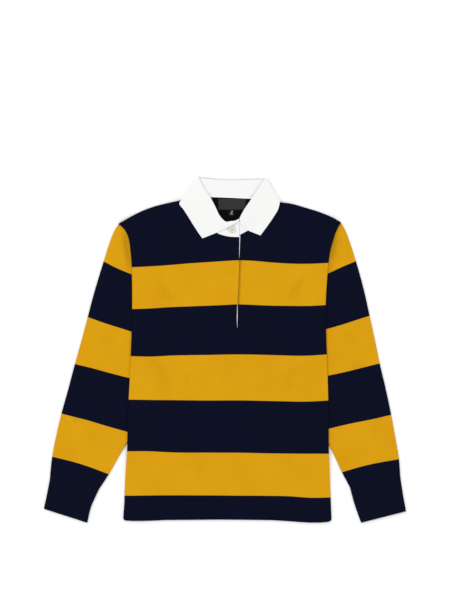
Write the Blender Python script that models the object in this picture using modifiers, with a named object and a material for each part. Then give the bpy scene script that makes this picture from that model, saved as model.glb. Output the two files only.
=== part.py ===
"""A long-sleeved striped polo shirt with a twill collar, laid flat on its back.

The front faces up, the collar points along +Y, and the floor is z = 0. Sizes below are in
millimetres and the model is built in metres.
"""

import math

import bmesh
import bpy
import numpy as np
from mathutils import Vector

MM = 0.001

# Cloth and the way it is stacked
JERSEY = 1.5  # wall of the body and sleeves
RIB_KNIT = 1.6  # wall of the cuffs, at the foot of a rib
FALL_TWILL = 1.5  # wall of the collar fall
STAND_TWILL = 1.4  # wall of the collar stand
HOLLOW = 0.6  # air between two layers that lie on each other
SEAM_GAP = 0.3  # between pieces that are sewn together
REST_GAP = 0.5  # between a leaf of the collar and what it lies on
STACK = 2 * JERSEY + HOLLOW  # a flattened tube of jersey
EDGE_RADIUS = 2.6  # how far in from its edge a flattened tube is rounded
EDGE_STEPS = (0.0, 0.6, EDGE_RADIUS)  # columns across that rounding
RIM = 1.0  # wall at the very edge, where a panel meets the other

# Body, from the hem up: y and x of each side, up to the shoulder tip
LEFT_SIDE = (
    (-338.5, -202.9),
    (-305.8, -201.3),
    (-265.8, -199.9),
    (-205.8, -195.9),
    (-133.8, -193.9),
    (-49.8, -189.9),
    (38.2, -186.9),
    (94.2, -185.9),
    (142.2, -186.1),
    (164.6, -186.3),
    (196.8, -188.3),
    (223.6, -192.7),
    (237.8, -198.1),
    (251.2, -212.1),
)
RIGHT_SIDE = (
    (-340.5, 213.1),
    (-305.8, 211.9),
    (-265.8, 210.1),
    (-205.8, 207.7),
    (-133.8, 207.1),
    (-49.8, 205.1),
    (38.2, 202.1),
    (94.2, 201.1),
    (142.2, 203.5),
    (164.6, 205.5),
    (196.8, 209.3),
    (223.6, 216.9),
    (237.8, 221.9),
    (253.0, 231.7),
)
# x and y along the hem, the shoulders and the neck seams
HEM = (
    (-202.9, -338.5),
    (-198.9, -342.6),
    (-149.9, -341.8),
    (-49.9, -341.0),
    (88.1, -341.6),
    (124.1, -343.0),
    (168.1, -346.2),
    (192.1, -345.8),
    (209.5, -344.0),
    (213.1, -340.5),
)
LEFT_SHOULDER = (
    (-212.1, 251.2),
    (-190.9, 262.2),
    (-169.9, 272.6),
    (-142.7, 284.2),
    (-115.9, 292.2),
    (-90.9, 297.2),
    (-80.9, 298.6),
)
RIGHT_SHOULDER = (
    (104.1, 294.2),
    (112.9, 293.4),
    (132.7, 290.8),
    (162.9, 282.4),
    (195.1, 271.8),
    (231.7, 253.0),
)
FRONT_NECK = (
    (-80.9, 298.6),
    (-74.9, 282.2),
    (-57.9, 256.6),
    (-35.9, 239.0),
    (-20.0, 233.6),
    (-6.5, 228.2),
    (5.0, 225.2),
    (16.0, 224.1),
    (28.9, 223.8),
    (30.5, 228.4),
    (45.1, 236.4),
    (66.1, 248.2),
    (85.1, 266.2),
    (99.1, 284.2),
    (104.1, 294.2),
)
BACK_NECK = (
    (-80.9, 298.6),
    (-57.9, 301.8),
    (-29.9, 304.4),
    (12.1, 302.8),
    (54.1, 300.8),
    (80.1, 297.6),
    (104.1, 294.2),
)
SHOULDER_SPACING = 18.0  # between the panels' columns across a shoulder
YOKE_Y = 146.0  # rows are level up to here and fan out to the neck above
ROW_SPACING = 27.0
YOKE_ROWS = 7
HEM_DEPTH = 36.0
HEM_STEP = 0.7  # how much thicker the turned hem is
HEM_EDGE = 1.2  # the bend of the cloth along the hem

# Half placket: the left front laps over the right
SLIT_END_Y = 38.0
SLIT_COLUMN_X = 28.9  # the slit's left edge where it meets the neck seam
SLIT_FAR_COLUMN_X = 30.5  # and its right edge
PLACKET_WIDTH = 34.0
PLACKET_RAMP = 24.0  # over which the jersey climbs onto the facing
PLACKET_LIFT = 2.0
SLIT_RAMP = 14.0  # the same climb, below the slit's end
FACING_THICKNESS = 1.2
FACING_CLEARANCE = 0.4
FACING_ROWS = 14
FACING_COLUMNS = 4
# y and how far the white facing shows past the slit's edge
FACING_SHOWS = (
    (42.0, 0.5),
    (50.0, 1.5),
    (78.0, 1.5),
    (90.0, 0.4),
    (178.0, 0.4),
    (186.0, 1.4),
    (226.0, 1.9),
)

# Sleeves, from the shoulder tip to the cuff: outer x, y and inner x, y.
# The inner edge lies under the body down to where it shows beside it.
LEFT_SLEEVE = (
    (-212.5, 249.4, -187.9, 239.2),
    (-219.9, 238.2, -173.9, 218.2),
    (-229.9, 214.2, -165.9, 190.2),
    (-241.9, 174.4, -157.9, 146.2),
    (-251.9, 142.2, -151.9, 110.2),
    (-262.9, 104.2, -145.9, 68.2),
    (-272.5, 65.2, -139.9, 24.2),
    (-285.9, 18.2, -133.9, -25.8),
    (-299.9, -30.8, -135.9, -71.8),
    (-312.9, -77.8, -151.9, -115.8),
    (-325.9, -126.8, -180.9, -164.8),
    (-334.9, -167.8, -205.3, -202.8),
    (-345.1, -216.6, -232.1, -249.8),
    (-349.9, -257.8, -251.9, -280.4),
)
RIGHT_SLEEVE = (
    (232.5, 250.2, 208.1, 239.2),
    (238.1, 238.2, 194.1, 218.2),
    (248.1, 214.2, 186.1, 190.2),
    (260.9, 175.2, 178.1, 146.2),
    (270.1, 142.2, 172.1, 112.2),
    (280.1, 104.2, 166.1, 70.2),
    (289.9, 67.2, 160.1, 28.2),
    (300.1, 18.2, 152.1, -23.8),
    (309.5, -29.8, 154.1, -67.8),
    (321.1, -77.8, 168.1, -111.8),
    (332.3, -131.8, 194.1, -163.8),
    (338.1, -169.8, 218.1, -211.8),
    (348.3, -221.8, 234.1, -246.6),
    (350.9, -255.8, 250.1, -276.6),
)
LEFT_CUFF = (
    (-349.9, -257.8, -251.9, -280.4),
    (-355.9, -289.8, -267.9, -315.8),
    (-362.3, -319.4, -275.5, -347.4),
)
RIGHT_CUFF = (
    (350.9, -255.8, 250.1, -276.6),
    (355.7, -287.8, 259.1, -309.8),
    (362.3, -324.4, 272.5, -347.4),
)
SLEEVE_COLUMNS = 5  # between the two rounded edges
RIB_PITCH = 3.6
RIB_HEIGHT = 0.5
TUCK_MARGIN = 10.0  # the body stays lifted this far past what lies under it
TUCK_FALL = 30.0  # and comes down to the floor over this length

# Collar. Each station gives the roll line's x, y and the outer edge's x, y.
FALL_LEFT_END = ((2.5, 253.8), (8.4, 246.4), (-14.1, 233.4), (-44.9, 221.6))
FALL_LEFT = (
    (-1.9, 257.0, -49.9, 229.8),
    (-9.1, 264.8, -59.9, 246.2),
    (-19.9, 286.2, -70.9, 264.2),
    (-29.9, 304.8, -80.9, 279.2),
    (-42.9, 324.2, -88.9, 290.5),
)
FALL_BACK = (
    (-34.9, 343.6, -61.9, 288.2),
    (-13.9, 341.6, -33.9, 283.2),
    (12.1, 340.6, 12.1, 281.2),
    (40.1, 341.4, 54.1, 281.2),
    (66.1, 342.2, 86.1, 285.2),
)
FALL_RIGHT = (
    (67.1, 321.2, 105.5, 278.2),
    (55.1, 303.2, 97.1, 264.2),
    (43.1, 286.2, 88.5, 251.2),
    (33.7, 271.0, 79.1, 238.2),
)
FALL_RIGHT_END = ((31.5, 265.0), (36.1, 253.4), (46.7, 237.2), (70.9, 227.4))
LEFT_WRAP = (-52.9, 345.0, -84.7, 300.2)
RIGHT_WRAP = (80.7, 341.2, 107.9, 295.6)
WRAP_STEPS = 6
ROLL_RISE_BACK = 0.9
ROLL_RISE_FRONT = 3.4
ROLL_RISE_BACK_Y = 342.0
ROLL_RISE_LENGTH = 54.0
ROLL_RISE_REACH = 38.0
# The section where the fall turns over the stand: distance in from the roll, depth
CURL_OUTER = ((0.9, 3.2), (0.15, 2.3), (0.0, 1.2), (0.5, 0.35), (1.6, 0.0))
CURL_INNER = ((1.6, 3.2), (1.5, 2.6), (1.6, 2.0), (1.9, 1.7), (2.6, FALL_TWILL))
FALL_FRACTIONS = (0.16, 0.32, 0.5, 0.66, 0.83, 1.0)
FALL_END_FRACTIONS = (0.0, 0.2, 0.55, 1.0)
# Stand: top edge x, y and neck seam x, y, first the end that lies on top
STAND_INSET = 2.4  # between the roll line and the stand's edge inside it
STAND_DEPTH = 2.2  # how deep under the fall's face the stand's face lies
STAND_LAP = (
    (28.5, 263.4, 28.5, 223.8),
    (19.1, 256.0, 16.0, 224.1),
    (10.3, 252.9, 5.0, 225.2),
)
STAND_LEFT = (
    (2.0, 254.2, -6.5, 228.2),
    (-9.1, 264.8, -20.0, 233.6),
    (-19.9, 286.2, -35.9, 239.0),
    (-29.9, 304.8, -57.9, 256.6),
    (-42.9, 324.2, -74.9, 282.2),
)
STAND_BACK = (
    (-44.0, 344.3, -57.9, 301.8),
    (-27.0, 342.8, -29.9, 304.4),
    (12.1, 340.6, 12.1, 302.8),
    (50.0, 341.7, 54.1, 300.8),
    (68.0, 342.1, 80.1, 297.6),
)
STAND_RIGHT = (
    (67.1, 321.2, 99.1, 284.2),
    (55.1, 303.2, 85.1, 266.2),
    (43.1, 286.2, 66.1, 248.2),
    (33.7, 271.0, 45.1, 236.4),
)
STAND_UNDERLAP = (
    (32.6, 260.4, 30.5, 229.0),
    (22.0, 254.5, 22.0, 227.4),
    (8.0, 249.5, 8.0, 227.4),
)
STAND_COLUMNS = 5
WRAP_SEAM_FRACTION = 0.9  # how far down the fall's wrap the stand reaches

BUTTON_CENTRE = (14.0, 239.6)
BUTTON_RADIUS = 6.8
BUTTON_THICKNESS = 2.8
BUTTON_HOLE_RADIUS = 0.9
BUTTON_HOLE_OFFSET = 1.7

LABEL = (-13.3, 41.7, 278.8, 300.6)  # low x, high x, low y, high y
SIZE_TAB = (7.1, 19.1, 266.2, 278.4)
LABEL_THICKNESS = 0.8
LABEL_GAP = 0.4
LABEL_GRID = (5, 3)

# name: colour, roughness
CLOTHS = {
    "jersey_navy": ((0.0045, 0.0072, 0.0176), 0.9),
    "jersey_gold": ((0.70, 0.352, 0.008), 0.88),
    "rib_navy": ((0.0045, 0.0072, 0.0176), 0.92),
    "twill_white": ((0.90, 0.90, 0.88), 0.8),
    "tape_white": ((0.86, 0.86, 0.88), 0.7),
    "rubber_cream": ((0.72, 0.68, 0.58), 0.55),
    "label_grey": ((0.030, 0.030, 0.030), 0.75),
    "tab_black": ((0.005, 0.005, 0.006), 0.75),
}


def clear_scene():
    for thing in list(bpy.data.objects):
        bpy.data.objects.remove(thing, do_unlink=True)


def new_collection(name):
    collection = bpy.data.collections.new(name)
    bpy.context.scene.collection.children.link(collection)
    return collection


def cloth_material(name):
    colour, roughness = CLOTHS[name]
    material = bpy.data.materials.new(name)
    material.use_nodes = True
    shader = material.node_tree.nodes["Principled BSDF"]
    shader.inputs["Base Color"].default_value = (*colour, 1.0)
    shader.inputs["Roughness"].default_value = roughness
    shader.inputs["Metallic"].default_value = 0.0
    material.diffuse_color = (*colour, 1.0)
    return material


def ease(t):
    """0 to 1 with level ends."""
    t = np.clip(t, 0.0, 1.0)
    return t * t * (3.0 - 2.0 * t)


def across(table, at):
    """The second column of a table, read between its rows."""
    rows = np.array(table)
    return np.interp(at, rows[:, 0], rows[:, 1])


def line_distance(x, y, line):
    """Distance in plan from a point to a line of points."""
    line = np.array(line)
    start, end = line[:-1], line[1:]
    along = end - start
    point = np.array([x, y])
    share = ((point - start) * along).sum(axis=1) / (along * along).sum(axis=1)
    nearest = start + along * np.clip(share, 0.0, 1.0)[:, None]
    return float(np.linalg.norm(point - nearest, axis=1).min())


def area_distance(x, y, outline):
    """0 inside a closed outline, and the distance to it outside."""
    corners = np.array(outline)
    following = np.roll(corners, -1, axis=0)
    crossing = (corners[:, 1] > y) != (following[:, 1] > y)
    low, high = corners[crossing], following[crossing]
    meets = low[:, 0] + (y - low[:, 1]) * (high[:, 0] - low[:, 0]) / (high[:, 1] - low[:, 1])
    if np.count_nonzero(meets > x) % 2:
        return 0.0
    return line_distance(x, y, np.vstack([corners, corners[:1]]))


def footprint(stations):
    """The outline in plan of a strip of stations."""
    outer = [(row[0], row[1]) for row in stations]
    inner = [(row[2], row[3]) for row in stations]
    return outer + inner[::-1]


SLEEVE_AREAS = (footprint(LEFT_SLEEVE), footprint(RIGHT_SLEEVE))
FALL_AREA = footprint((LEFT_WRAP, *FALL_BACK, RIGHT_WRAP))
ROLL_LINE = (
    FALL_LEFT_END[0],
    *[row[:2] for row in FALL_LEFT],
    LEFT_WRAP[:2],
    *[row[:2] for row in FALL_BACK],
    RIGHT_WRAP[:2],
    *[row[:2] for row in FALL_RIGHT],
    FALL_RIGHT_END[0],
)


def body_lift(x, y):
    """Height of the body's underside: it climbs over the sleeves and over the fall."""
    lift = 0.0
    for area in SLEEVE_AREAS:
        past = area_distance(x, y, area) - TUCK_MARGIN
        lift += (STACK + SEAM_GAP) * (1.0 - ease(past / TUCK_FALL))
    past = area_distance(x, y, FALL_AREA) - TUCK_MARGIN
    lift += (FALL_TWILL + REST_GAP) * (1.0 - ease(past / TUCK_FALL))
    return lift


def column_x(top_x, top_y, y):
    """A panel's inner column: straight from the hem to the yoke, and from there to its top."""
    left_tip, right_tip = LEFT_SIDE[-1][1], RIGHT_SIDE[-1][1]
    share = (top_x - left_tip) / (right_tip - left_tip)
    low_y = HEM[0][1]
    ends = []
    for at in (low_y, YOKE_Y):
        left, right = across(LEFT_SIDE, at), across(RIGHT_SIDE, at)
        ends.append(left + (right - left) * share)
    if y <= YOKE_Y:
        return ends[0] + (ends[1] - ends[0]) * (y - low_y) / (YOKE_Y - low_y)
    return ends[1] + (top_x - ends[1]) * min((y - YOKE_Y) / (top_y - YOKE_Y), 1.0)


def slit_x(y):
    """The slit's left edge lies along a column of the panel."""
    return column_x(SLIT_COLUMN_X, across(FRONT_NECK, SLIT_COLUMN_X), y)


def slit_width(y):
    return across(FACING_SHOWS, y) + FACING_CLEARANCE


def placket_lift(x, y):
    """How much the left front stands over the facing, up to the slit's edge."""
    edge = slit_x(y)
    if x > edge + SEAM_GAP:
        return 0.0
    rise = ease((x - (edge - PLACKET_WIDTH - PLACKET_RAMP)) / PLACKET_RAMP)
    return PLACKET_LIFT * rise * ease((y - SLIT_END_Y + SLIT_RAMP) / SLIT_RAMP)


def roll_rise(x, y):
    """How much the collar stands up beside its roll line."""
    forward = ease((ROLL_RISE_BACK_Y - y) / ROLL_RISE_LENGTH)
    height = ROLL_RISE_BACK + (ROLL_RISE_FRONT - ROLL_RISE_BACK) * forward
    return height * (1.0 - ease(line_distance(x, y, ROLL_LINE) / ROLL_RISE_REACH))


def fall_top(x, y, lapped=True):
    """Height of a collar leaf's face over the body."""
    lift = body_lift(x, y) + roll_rise(x, y)
    if lapped:
        lift += placket_lift(x, y)
    return lift + STACK + REST_GAP + FALL_TWILL


def smooth_shaded(mesh):
    mesh.shade_smooth()
    mesh.set_sharp_from_angle(angle=math.radians(40))


def add_piece(name, mesh, cloth, collection):
    piece = bpy.data.objects.new(name, mesh)
    mesh.materials.append(cloth_material(cloth))
    collection.objects.link(piece)
    return piece


def wall(name, outer, inner, cloth, collection, closed=False, open_cells=()):
    """A cloth wall between two grids of points, closed all round its edges.

    closed joins the last column to the first, and open_cells are left out of the grid.
    """
    rows, columns = len(outer), len(outer[0])
    bm = bmesh.new()
    faces = (
        {(j, i): bm.verts.new(Vector(outer[j][i]) * MM) for j in range(rows) for i in range(columns)},
        {(j, i): bm.verts.new(Vector(inner[j][i]) * MM) for j in range(rows) for i in range(columns)},
    )
    edges = {}
    for j in range(rows - 1):
        for i in range(columns if closed else columns - 1):
            if (j, i) in open_cells:
                continue
            after = (i + 1) % columns
            loop = [(j, i), (j, after), (j + 1, after), (j + 1, i)]
            bm.faces.new([faces[0][at] for at in loop])
            bm.faces.new([faces[1][at] for at in reversed(loop)])
            for start, end in zip(loop, loop[1:] + loop[:1]):
                if (end, start) in edges:
                    del edges[(end, start)]
                else:
                    edges[(start, end)] = True
    for start, end in edges:
        bm.faces.new([faces[0][end], faces[0][start], faces[1][start], faces[1][end]])
    bmesh.ops.delete(bm, geom=[v for v in bm.verts if not v.link_faces], context="VERTS")
    bmesh.ops.recalc_face_normals(bm, faces=bm.faces)
    mesh = bpy.data.meshes.new(name)
    bm.to_mesh(mesh)
    bm.free()
    smooth_shaded(mesh)
    return add_piece(name, mesh, cloth, collection)


def rounding(distance):
    """Share of its full height that a flattened tube has at this distance from its edge."""
    if distance >= EDGE_RADIUS:
        return 1.0
    return math.sqrt(1.0 - (1.0 - distance / EDGE_RADIUS) ** 2)


def inset(distance):
    """How far in the wall's inner face lies from its outer one, in plan."""
    return min(RIM, JERSEY * (1.0 - rounding(distance)))


def shoulder_columns(low, high):
    count = max(1, round((high - low) / SHOULDER_SPACING))
    return list(np.linspace(low, high, count + 1)[1:-1])


def panel_columns(neck):
    """Each column of a panel: its x at the top, and its distance from a side or None."""
    left_tip, right_tip = LEFT_SIDE[-1][1], RIGHT_SIDE[-1][1]
    columns = [(left_tip + step, step, 1.0) for step in EDGE_STEPS]
    columns += [(x, None, 0.0) for x in shoulder_columns(left_tip, neck[0][0])]
    columns += [(x, None, 0.0) for x, _ in neck]
    columns += [(x, None, 0.0) for x in shoulder_columns(neck[-1][0], right_tip)]
    columns += [(right_tip - step, step, -1.0) for step in reversed(EDGE_STEPS)]
    return columns


def panel_rows():
    """Each row of a panel: how its y is found, and its value."""
    rows = [("hem", 0.0), ("hem", HEM_EDGE), ("hem", HEM_DEPTH - 1.0), ("hem", HEM_DEPTH + 1.0)]
    first = HEM[0][1] + HEM_DEPTH + ROW_SPACING
    low = np.linspace(first, SLIT_END_Y, round((SLIT_END_Y - first) / ROW_SPACING) + 1)
    high = np.linspace(SLIT_END_Y, YOKE_Y, round((YOKE_Y - SLIT_END_Y) / ROW_SPACING) + 1)
    rows += [("level", y) for y in low]
    rows += [("level", y) for y in high[1:]]
    rows += [("yoke", t) for t in np.linspace(0.0, 1.0, YOKE_ROWS + 1)[1:-1]]
    rows += [("top", step) for step in reversed(EDGE_STEPS)]
    return rows


def panel_point(column, row, neck):
    """Plan point of a grid crossing, its edge distances and the way in from each edge."""
    top_x, side, way = column
    kind, value = row
    left_tip, right_tip = LEFT_SIDE[-1], RIGHT_SIDE[-1]
    over_shoulder = not neck[0][0] <= top_x <= neck[-1][0]
    if over_shoulder:
        top = across(LEFT_SHOULDER if top_x < neck[0][0] else RIGHT_SHOULDER, top_x)
    else:
        top = across(neck, top_x)
    t = {"yoke": value, "top": 1.0}.get(kind)
    if kind == "hem":
        left_y, right_y = HEM[0][1] + value, HEM[-1][1] + value
    elif kind == "level":
        left_y = right_y = value
    else:
        left_y = YOKE_Y + (left_tip[0] - YOKE_Y) * t
        right_y = YOKE_Y + (right_tip[0] - YOKE_Y) * t
    level = {"hem": HEM[0][1] + value, "level": value}.get(kind)
    y = YOKE_Y + (top - YOKE_Y) * t if level is None else level
    if side is None:
        x = column_x(top_x, top, y)
    elif way > 0.0:
        x = across(LEFT_SIDE, left_y) + side
    else:
        x = across(RIGHT_SIDE, right_y) - side
    if kind == "hem":
        y = across(HEM, x) + value
        x = x if side is not None else column_x(top_x, top, y)
    at_top = None
    if kind == "top":
        y -= value
        at_top = value if over_shoulder or top_x in (neck[0][0], neck[-1][0]) else None
    return x, y, side, way, at_top


def panel(name, neck, is_front, collection):
    """The front or the back: two faces that meet the other panel's along the sides."""
    columns, rows = panel_columns(neck), panel_rows()
    outer, inner = [], []
    middle, sign = STACK / 2, (1.0 if is_front else -1.0)
    slit = [i for i, column in enumerate(columns) if column[0] in (SLIT_COLUMN_X, SLIT_FAR_COLUMN_X)]
    open_cells = set()
    for j, row in enumerate(rows):
        outer_row, inner_row = [], []
        for i, column in enumerate(columns):
            x, y, side, way, at_top = panel_point(column, row, neck)
            if is_front and i == slit[-1]:
                x = slit_x(y) + slit_width(y)
            lift = body_lift(x, y)
            share = min(rounding(d) for d in (side, at_top, EDGE_RADIUS) if d is not None)
            rim = middle + sign * SEAM_GAP / 2
            full_out = middle + sign * STACK / 2
            full_in = middle + sign * HOLLOW / 2
            if is_front:
                raised = placket_lift(x, y)
                if row[0] == "hem" and row[1] < HEM_DEPTH:
                    raised += HEM_STEP * (row[1] > 0.0)
                full_out += raised
                full_in += placket_lift(x, y)
            if row == ("hem", 0.0):
                full_out -= sign * HEM_STEP * is_front
            outer_row.append((x, y, lift + rim + (full_out - rim) * share))
            in_x = x + way * inset(side) if side is not None else x
            in_y = y - inset(at_top) if at_top is not None else y
            inner_row.append((in_x, in_y, lift + rim + (full_in - rim) * share))
        outer.append(outer_row)
        inner.append(inner_row)
        if is_front and j + 1 < len(rows) and outer_row[slit[0]][1] >= SLIT_END_Y:
            open_cells.add((j, slit[0]))
    return wall(name, outer, inner, "jersey_navy", collection, open_cells=open_cells)


def tube_section(low_x, low_y, high_x, high_y, depth, stops):
    """Plan points across a flattened tube at this depth inside its face."""
    edge = np.array([high_x - low_x, high_y - low_y])
    width = np.linalg.norm(edge)
    way = edge / width
    start = np.array([low_x, low_y])
    return [start + way * np.clip(stop, depth, width - depth) for stop in stops]


def edge_stops(width, middle):
    """Distances across a tube: close together at both edges."""
    inside = list(np.linspace(EDGE_RADIUS, width - EDGE_RADIUS, middle + 2)[1:-1])
    return [*EDGE_STEPS, *inside, *[width - step for step in reversed(EDGE_STEPS)]]


def sleeve(name, stations, collection):
    """A flattened tube, one ring of points for each station."""
    outer, inner = [], []
    middle = STACK / 2
    for number, station in enumerate(stations):
        station = np.array(station)
        if number == len(stations) - 1:
            back = station - np.array(stations[number - 1])
            station = station - back / np.linalg.norm(back[:2]) * SEAM_GAP
        width = np.linalg.norm(station[2:] - station[:2])
        stops = edge_stops(width, SLEEVE_COLUMNS)
        faces = []
        for depth, half in ((0.0, middle), (JERSEY, HOLLOW / 2)):
            plan = tube_section(*station, depth, stops)
            heights = [half * rounding(min(stop, width - stop)) for stop in stops]
            upper = [(*p, middle + h) for p, h in zip(plan, heights)]
            lower = [(*p, middle - h) for p, h in zip(plan, heights)][1:-1]
            faces.append(upper + lower[::-1])
        outer.append(faces[0])
        inner.append(faces[1])
    return wall(name, outer, inner, "jersey_navy", collection, closed=True)


def cuff(name, stations, collection):
    """A flattened rib tube: raised ribs above over a plain inside, level below."""
    outer, inner = [], []
    middle = RIB_KNIT + HOLLOW / 2
    first_width = np.linalg.norm(np.array(stations[0][2:]) - np.array(stations[0][:2]))
    ribs = round((first_width - 2 * EDGE_RADIUS) / RIB_PITCH)
    for station in stations:
        station = np.array(station)
        width = np.linalg.norm(station[2:] - station[:2])
        face = np.linspace(EDGE_RADIUS, width - EDGE_RADIUS, 2 * ribs + 1)
        above = [*EDGE_STEPS[:-1], *face, *[width - step for step in reversed(EDGE_STEPS[:-1])]]
        below = edge_stops(width, SLEEVE_COLUMNS)[1:-1]
        rings = []
        for depth, half in ((0.0, middle), (RIB_KNIT, HOLLOW / 2)):
            upper_plan = tube_section(*station, depth, above)
            lower_plan = tube_section(*station, depth, below)
            upper = []
            for k, (p, stop) in enumerate(zip(upper_plan, above)):
                rib = RIB_HEIGHT if depth == 0.0 and k % 2 == 1 and 2 <= k < len(above) - 2 else 0.0
                upper.append((*p, middle + half * rounding(min(stop, width - stop)) + rib))
            lower = [
                (*p, middle - half * rounding(min(stop, width - stop)))
                for p, stop in zip(lower_plan, below)
            ]
            rings.append(upper + lower[::-1])
        outer.append(rings[0])
        inner.append(rings[1])
    return wall(name, outer, inner, "rib_navy", collection, closed=True)


def ribbon_point(path, distance, fraction, depth, turn, outward, lapped=True):
    """A point of the collar.

    path is the section's plan line from the roll to its edge; the point lies distance in
    from the roll plus this fraction of the rest, and depth under the fall's face. turn is 0
    where that face looks up and half a turn where it looks down, at the back.
    """
    marks, line = path
    start = np.array(line[0])
    way = np.array(line[-2 if len(line) == 4 else -1]) - start
    way = way / np.linalg.norm(way)
    if fraction > 0.0:
        plan = np.array([np.interp(fraction, marks, [p[k] for p in line]) for k in (0, 1)])
    else:
        plan = start + way * distance
    half = fall_top(plan[0], plan[1], lapped) / 2
    reach = half - depth
    plan = plan + np.array(outward) * reach * math.sin(turn)
    return (plan[0], plan[1], half + reach * math.cos(turn))


def straight(row):
    return ((0.0, 1.0), (row[:2], row[2:]))


def wrap_outward(row):
    along = np.array(row[2:]) - np.array(row[:2])
    along = along / np.linalg.norm(along)
    return (along[1], -along[0]) if row[0] < 0 else (-along[1], along[0])


def collar_stations(ends, left, left_wrap, back, right_wrap, right):
    """(path, turn, outward) for every station from the left end round to the right end."""
    stations = [(ends[0], 0.0, (0.0, 0.0))] if ends[0] else []
    stations += [(straight(row), 0.0, (0.0, 0.0)) for row in left]
    for step in range(WRAP_STEPS + 1):
        stations.append((straight(left_wrap), math.pi * step / WRAP_STEPS, wrap_outward(left_wrap)))
    stations += [(straight(row), math.pi, (0.0, 0.0)) for row in back]
    for step in range(WRAP_STEPS, -1, -1):
        stations.append((straight(right_wrap), math.pi * step / WRAP_STEPS, wrap_outward(right_wrap)))
    stations += [(straight(row), 0.0, (0.0, 0.0)) for row in right]
    if ends[1]:
        stations.append((ends[1], 0.0, (0.0, 0.0)))
    return stations


def collar_fall(collection):
    """The fall: it turns over the stand along the roll and wraps round both sides."""
    ends = ((FALL_END_FRACTIONS, FALL_LEFT_END), (FALL_END_FRACTIONS, FALL_RIGHT_END))
    stations = collar_stations(ends, FALL_LEFT, LEFT_WRAP, FALL_BACK, RIGHT_WRAP, FALL_RIGHT)
    outer, inner = [], []
    for path, turn, outward in stations:
        outer_row = [ribbon_point(path, d, 0.0, n, turn, outward) for d, n in CURL_OUTER]
        inner_row = [ribbon_point(path, d, 0.0, n, turn, outward) for d, n in CURL_INNER]
        for f in FALL_FRACTIONS:
            outer_row.append(ribbon_point(path, 0.0, f, 0.0, turn, outward))
            inner_row.append(ribbon_point(path, 0.0, f, FALL_TWILL, turn, outward))
        outer.append(outer_row)
        inner.append(inner_row)
    return wall("collar_fall", outer, inner, "twill_white", collection)


def trimmed(row, top, foot):
    """A stand station with its top edge and its neck seam drawn in by these lengths."""
    start, end = np.array(row[:2]), np.array(row[2:])
    way = (end - start) / np.linalg.norm(end - start)
    start, end = start + way * top, end - way * foot
    return (*start, *end)


def stand_wrap(row):
    start, end = np.array(row[:2]), np.array(row[2:])
    return (*row[:2], *(start + (end - start) * WRAP_SEAM_FRACTION))


def collar_stand(collection):
    """The stand: it lies inside the fall's turn and its left end laps over its right end."""
    left = [trimmed(row, 0.0, SEAM_GAP) for row in STAND_LAP]
    left += [trimmed(row, STAND_INSET, SEAM_GAP) for row in STAND_LEFT]
    back = [trimmed(row, STAND_INSET, SEAM_GAP) for row in STAND_BACK]
    right = [trimmed(row, STAND_INSET, SEAM_GAP) for row in STAND_RIGHT]
    right += [trimmed(row, 0.0, 0.0) for row in STAND_UNDERLAP]
    left_wrap = trimmed(stand_wrap(LEFT_WRAP), STAND_INSET, 0.0)
    right_wrap = trimmed(stand_wrap(RIGHT_WRAP), STAND_INSET, 0.0)
    stations = collar_stations((None, None), left, left_wrap, back, right_wrap, right)
    first_right = len(stations) - len(right)
    outer, inner = [], []
    for number, (path, turn, outward) in enumerate(stations):
        lapped = number < first_right
        fractions = np.linspace(0.0, 1.0, STAND_COLUMNS + 1)
        outer.append(
            [ribbon_point(path, 0.0, f, STAND_DEPTH, turn, outward, lapped) for f in fractions]
        )
        inner.append(
            [
                ribbon_point(path, 0.0, f, STAND_DEPTH + STAND_TWILL, turn, outward, lapped)
                for f in fractions
            ]
        )
    return wall("collar_stand", outer, inner, "twill_white", collection)


def placket_facing(collection):
    """White tape under the left front's edge, showing past it by a thin line."""
    low = STACK - JERSEY + FACING_CLEARANCE
    outer, inner = [], []
    top = across(FRONT_NECK, SLIT_COLUMN_X) - SEAM_GAP
    for y in np.linspace(FACING_SHOWS[0][0], top, FACING_ROWS):
        edge = slit_x(y)
        stops = np.linspace(edge - PLACKET_WIDTH, edge + across(FACING_SHOWS, y), FACING_COLUMNS)
        heights = [body_lift(x, y) + low for x in stops]
        outer.append([(x, y, z + FACING_THICKNESS) for x, z in zip(stops, heights)])
        inner.append([(x, y, z) for x, z in zip(stops, heights)])
    return wall("placket_facing", outer, inner, "tape_white", collection)


def label(name, box, cloth, collection):
    """A flat label, made from the back panel's points moved out."""
    low_x, high_x, low_y, high_y = box
    outer, inner = [], []
    columns, rows = LABEL_GRID
    for y in np.linspace(low_y, high_y, rows):
        stops = np.linspace(low_x, high_x, columns)
        heights = [body_lift(x, y) + JERSEY + LABEL_GAP for x in stops]
        outer.append([(x, y, z + LABEL_THICKNESS) for x, z in zip(stops, heights)])
        inner.append([(x, y, z) for x, z in zip(stops, heights)])
    return wall(name, outer, inner, cloth, collection)


def stand_face(x, y):
    return fall_top(x, y) - STAND_DEPTH


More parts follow.
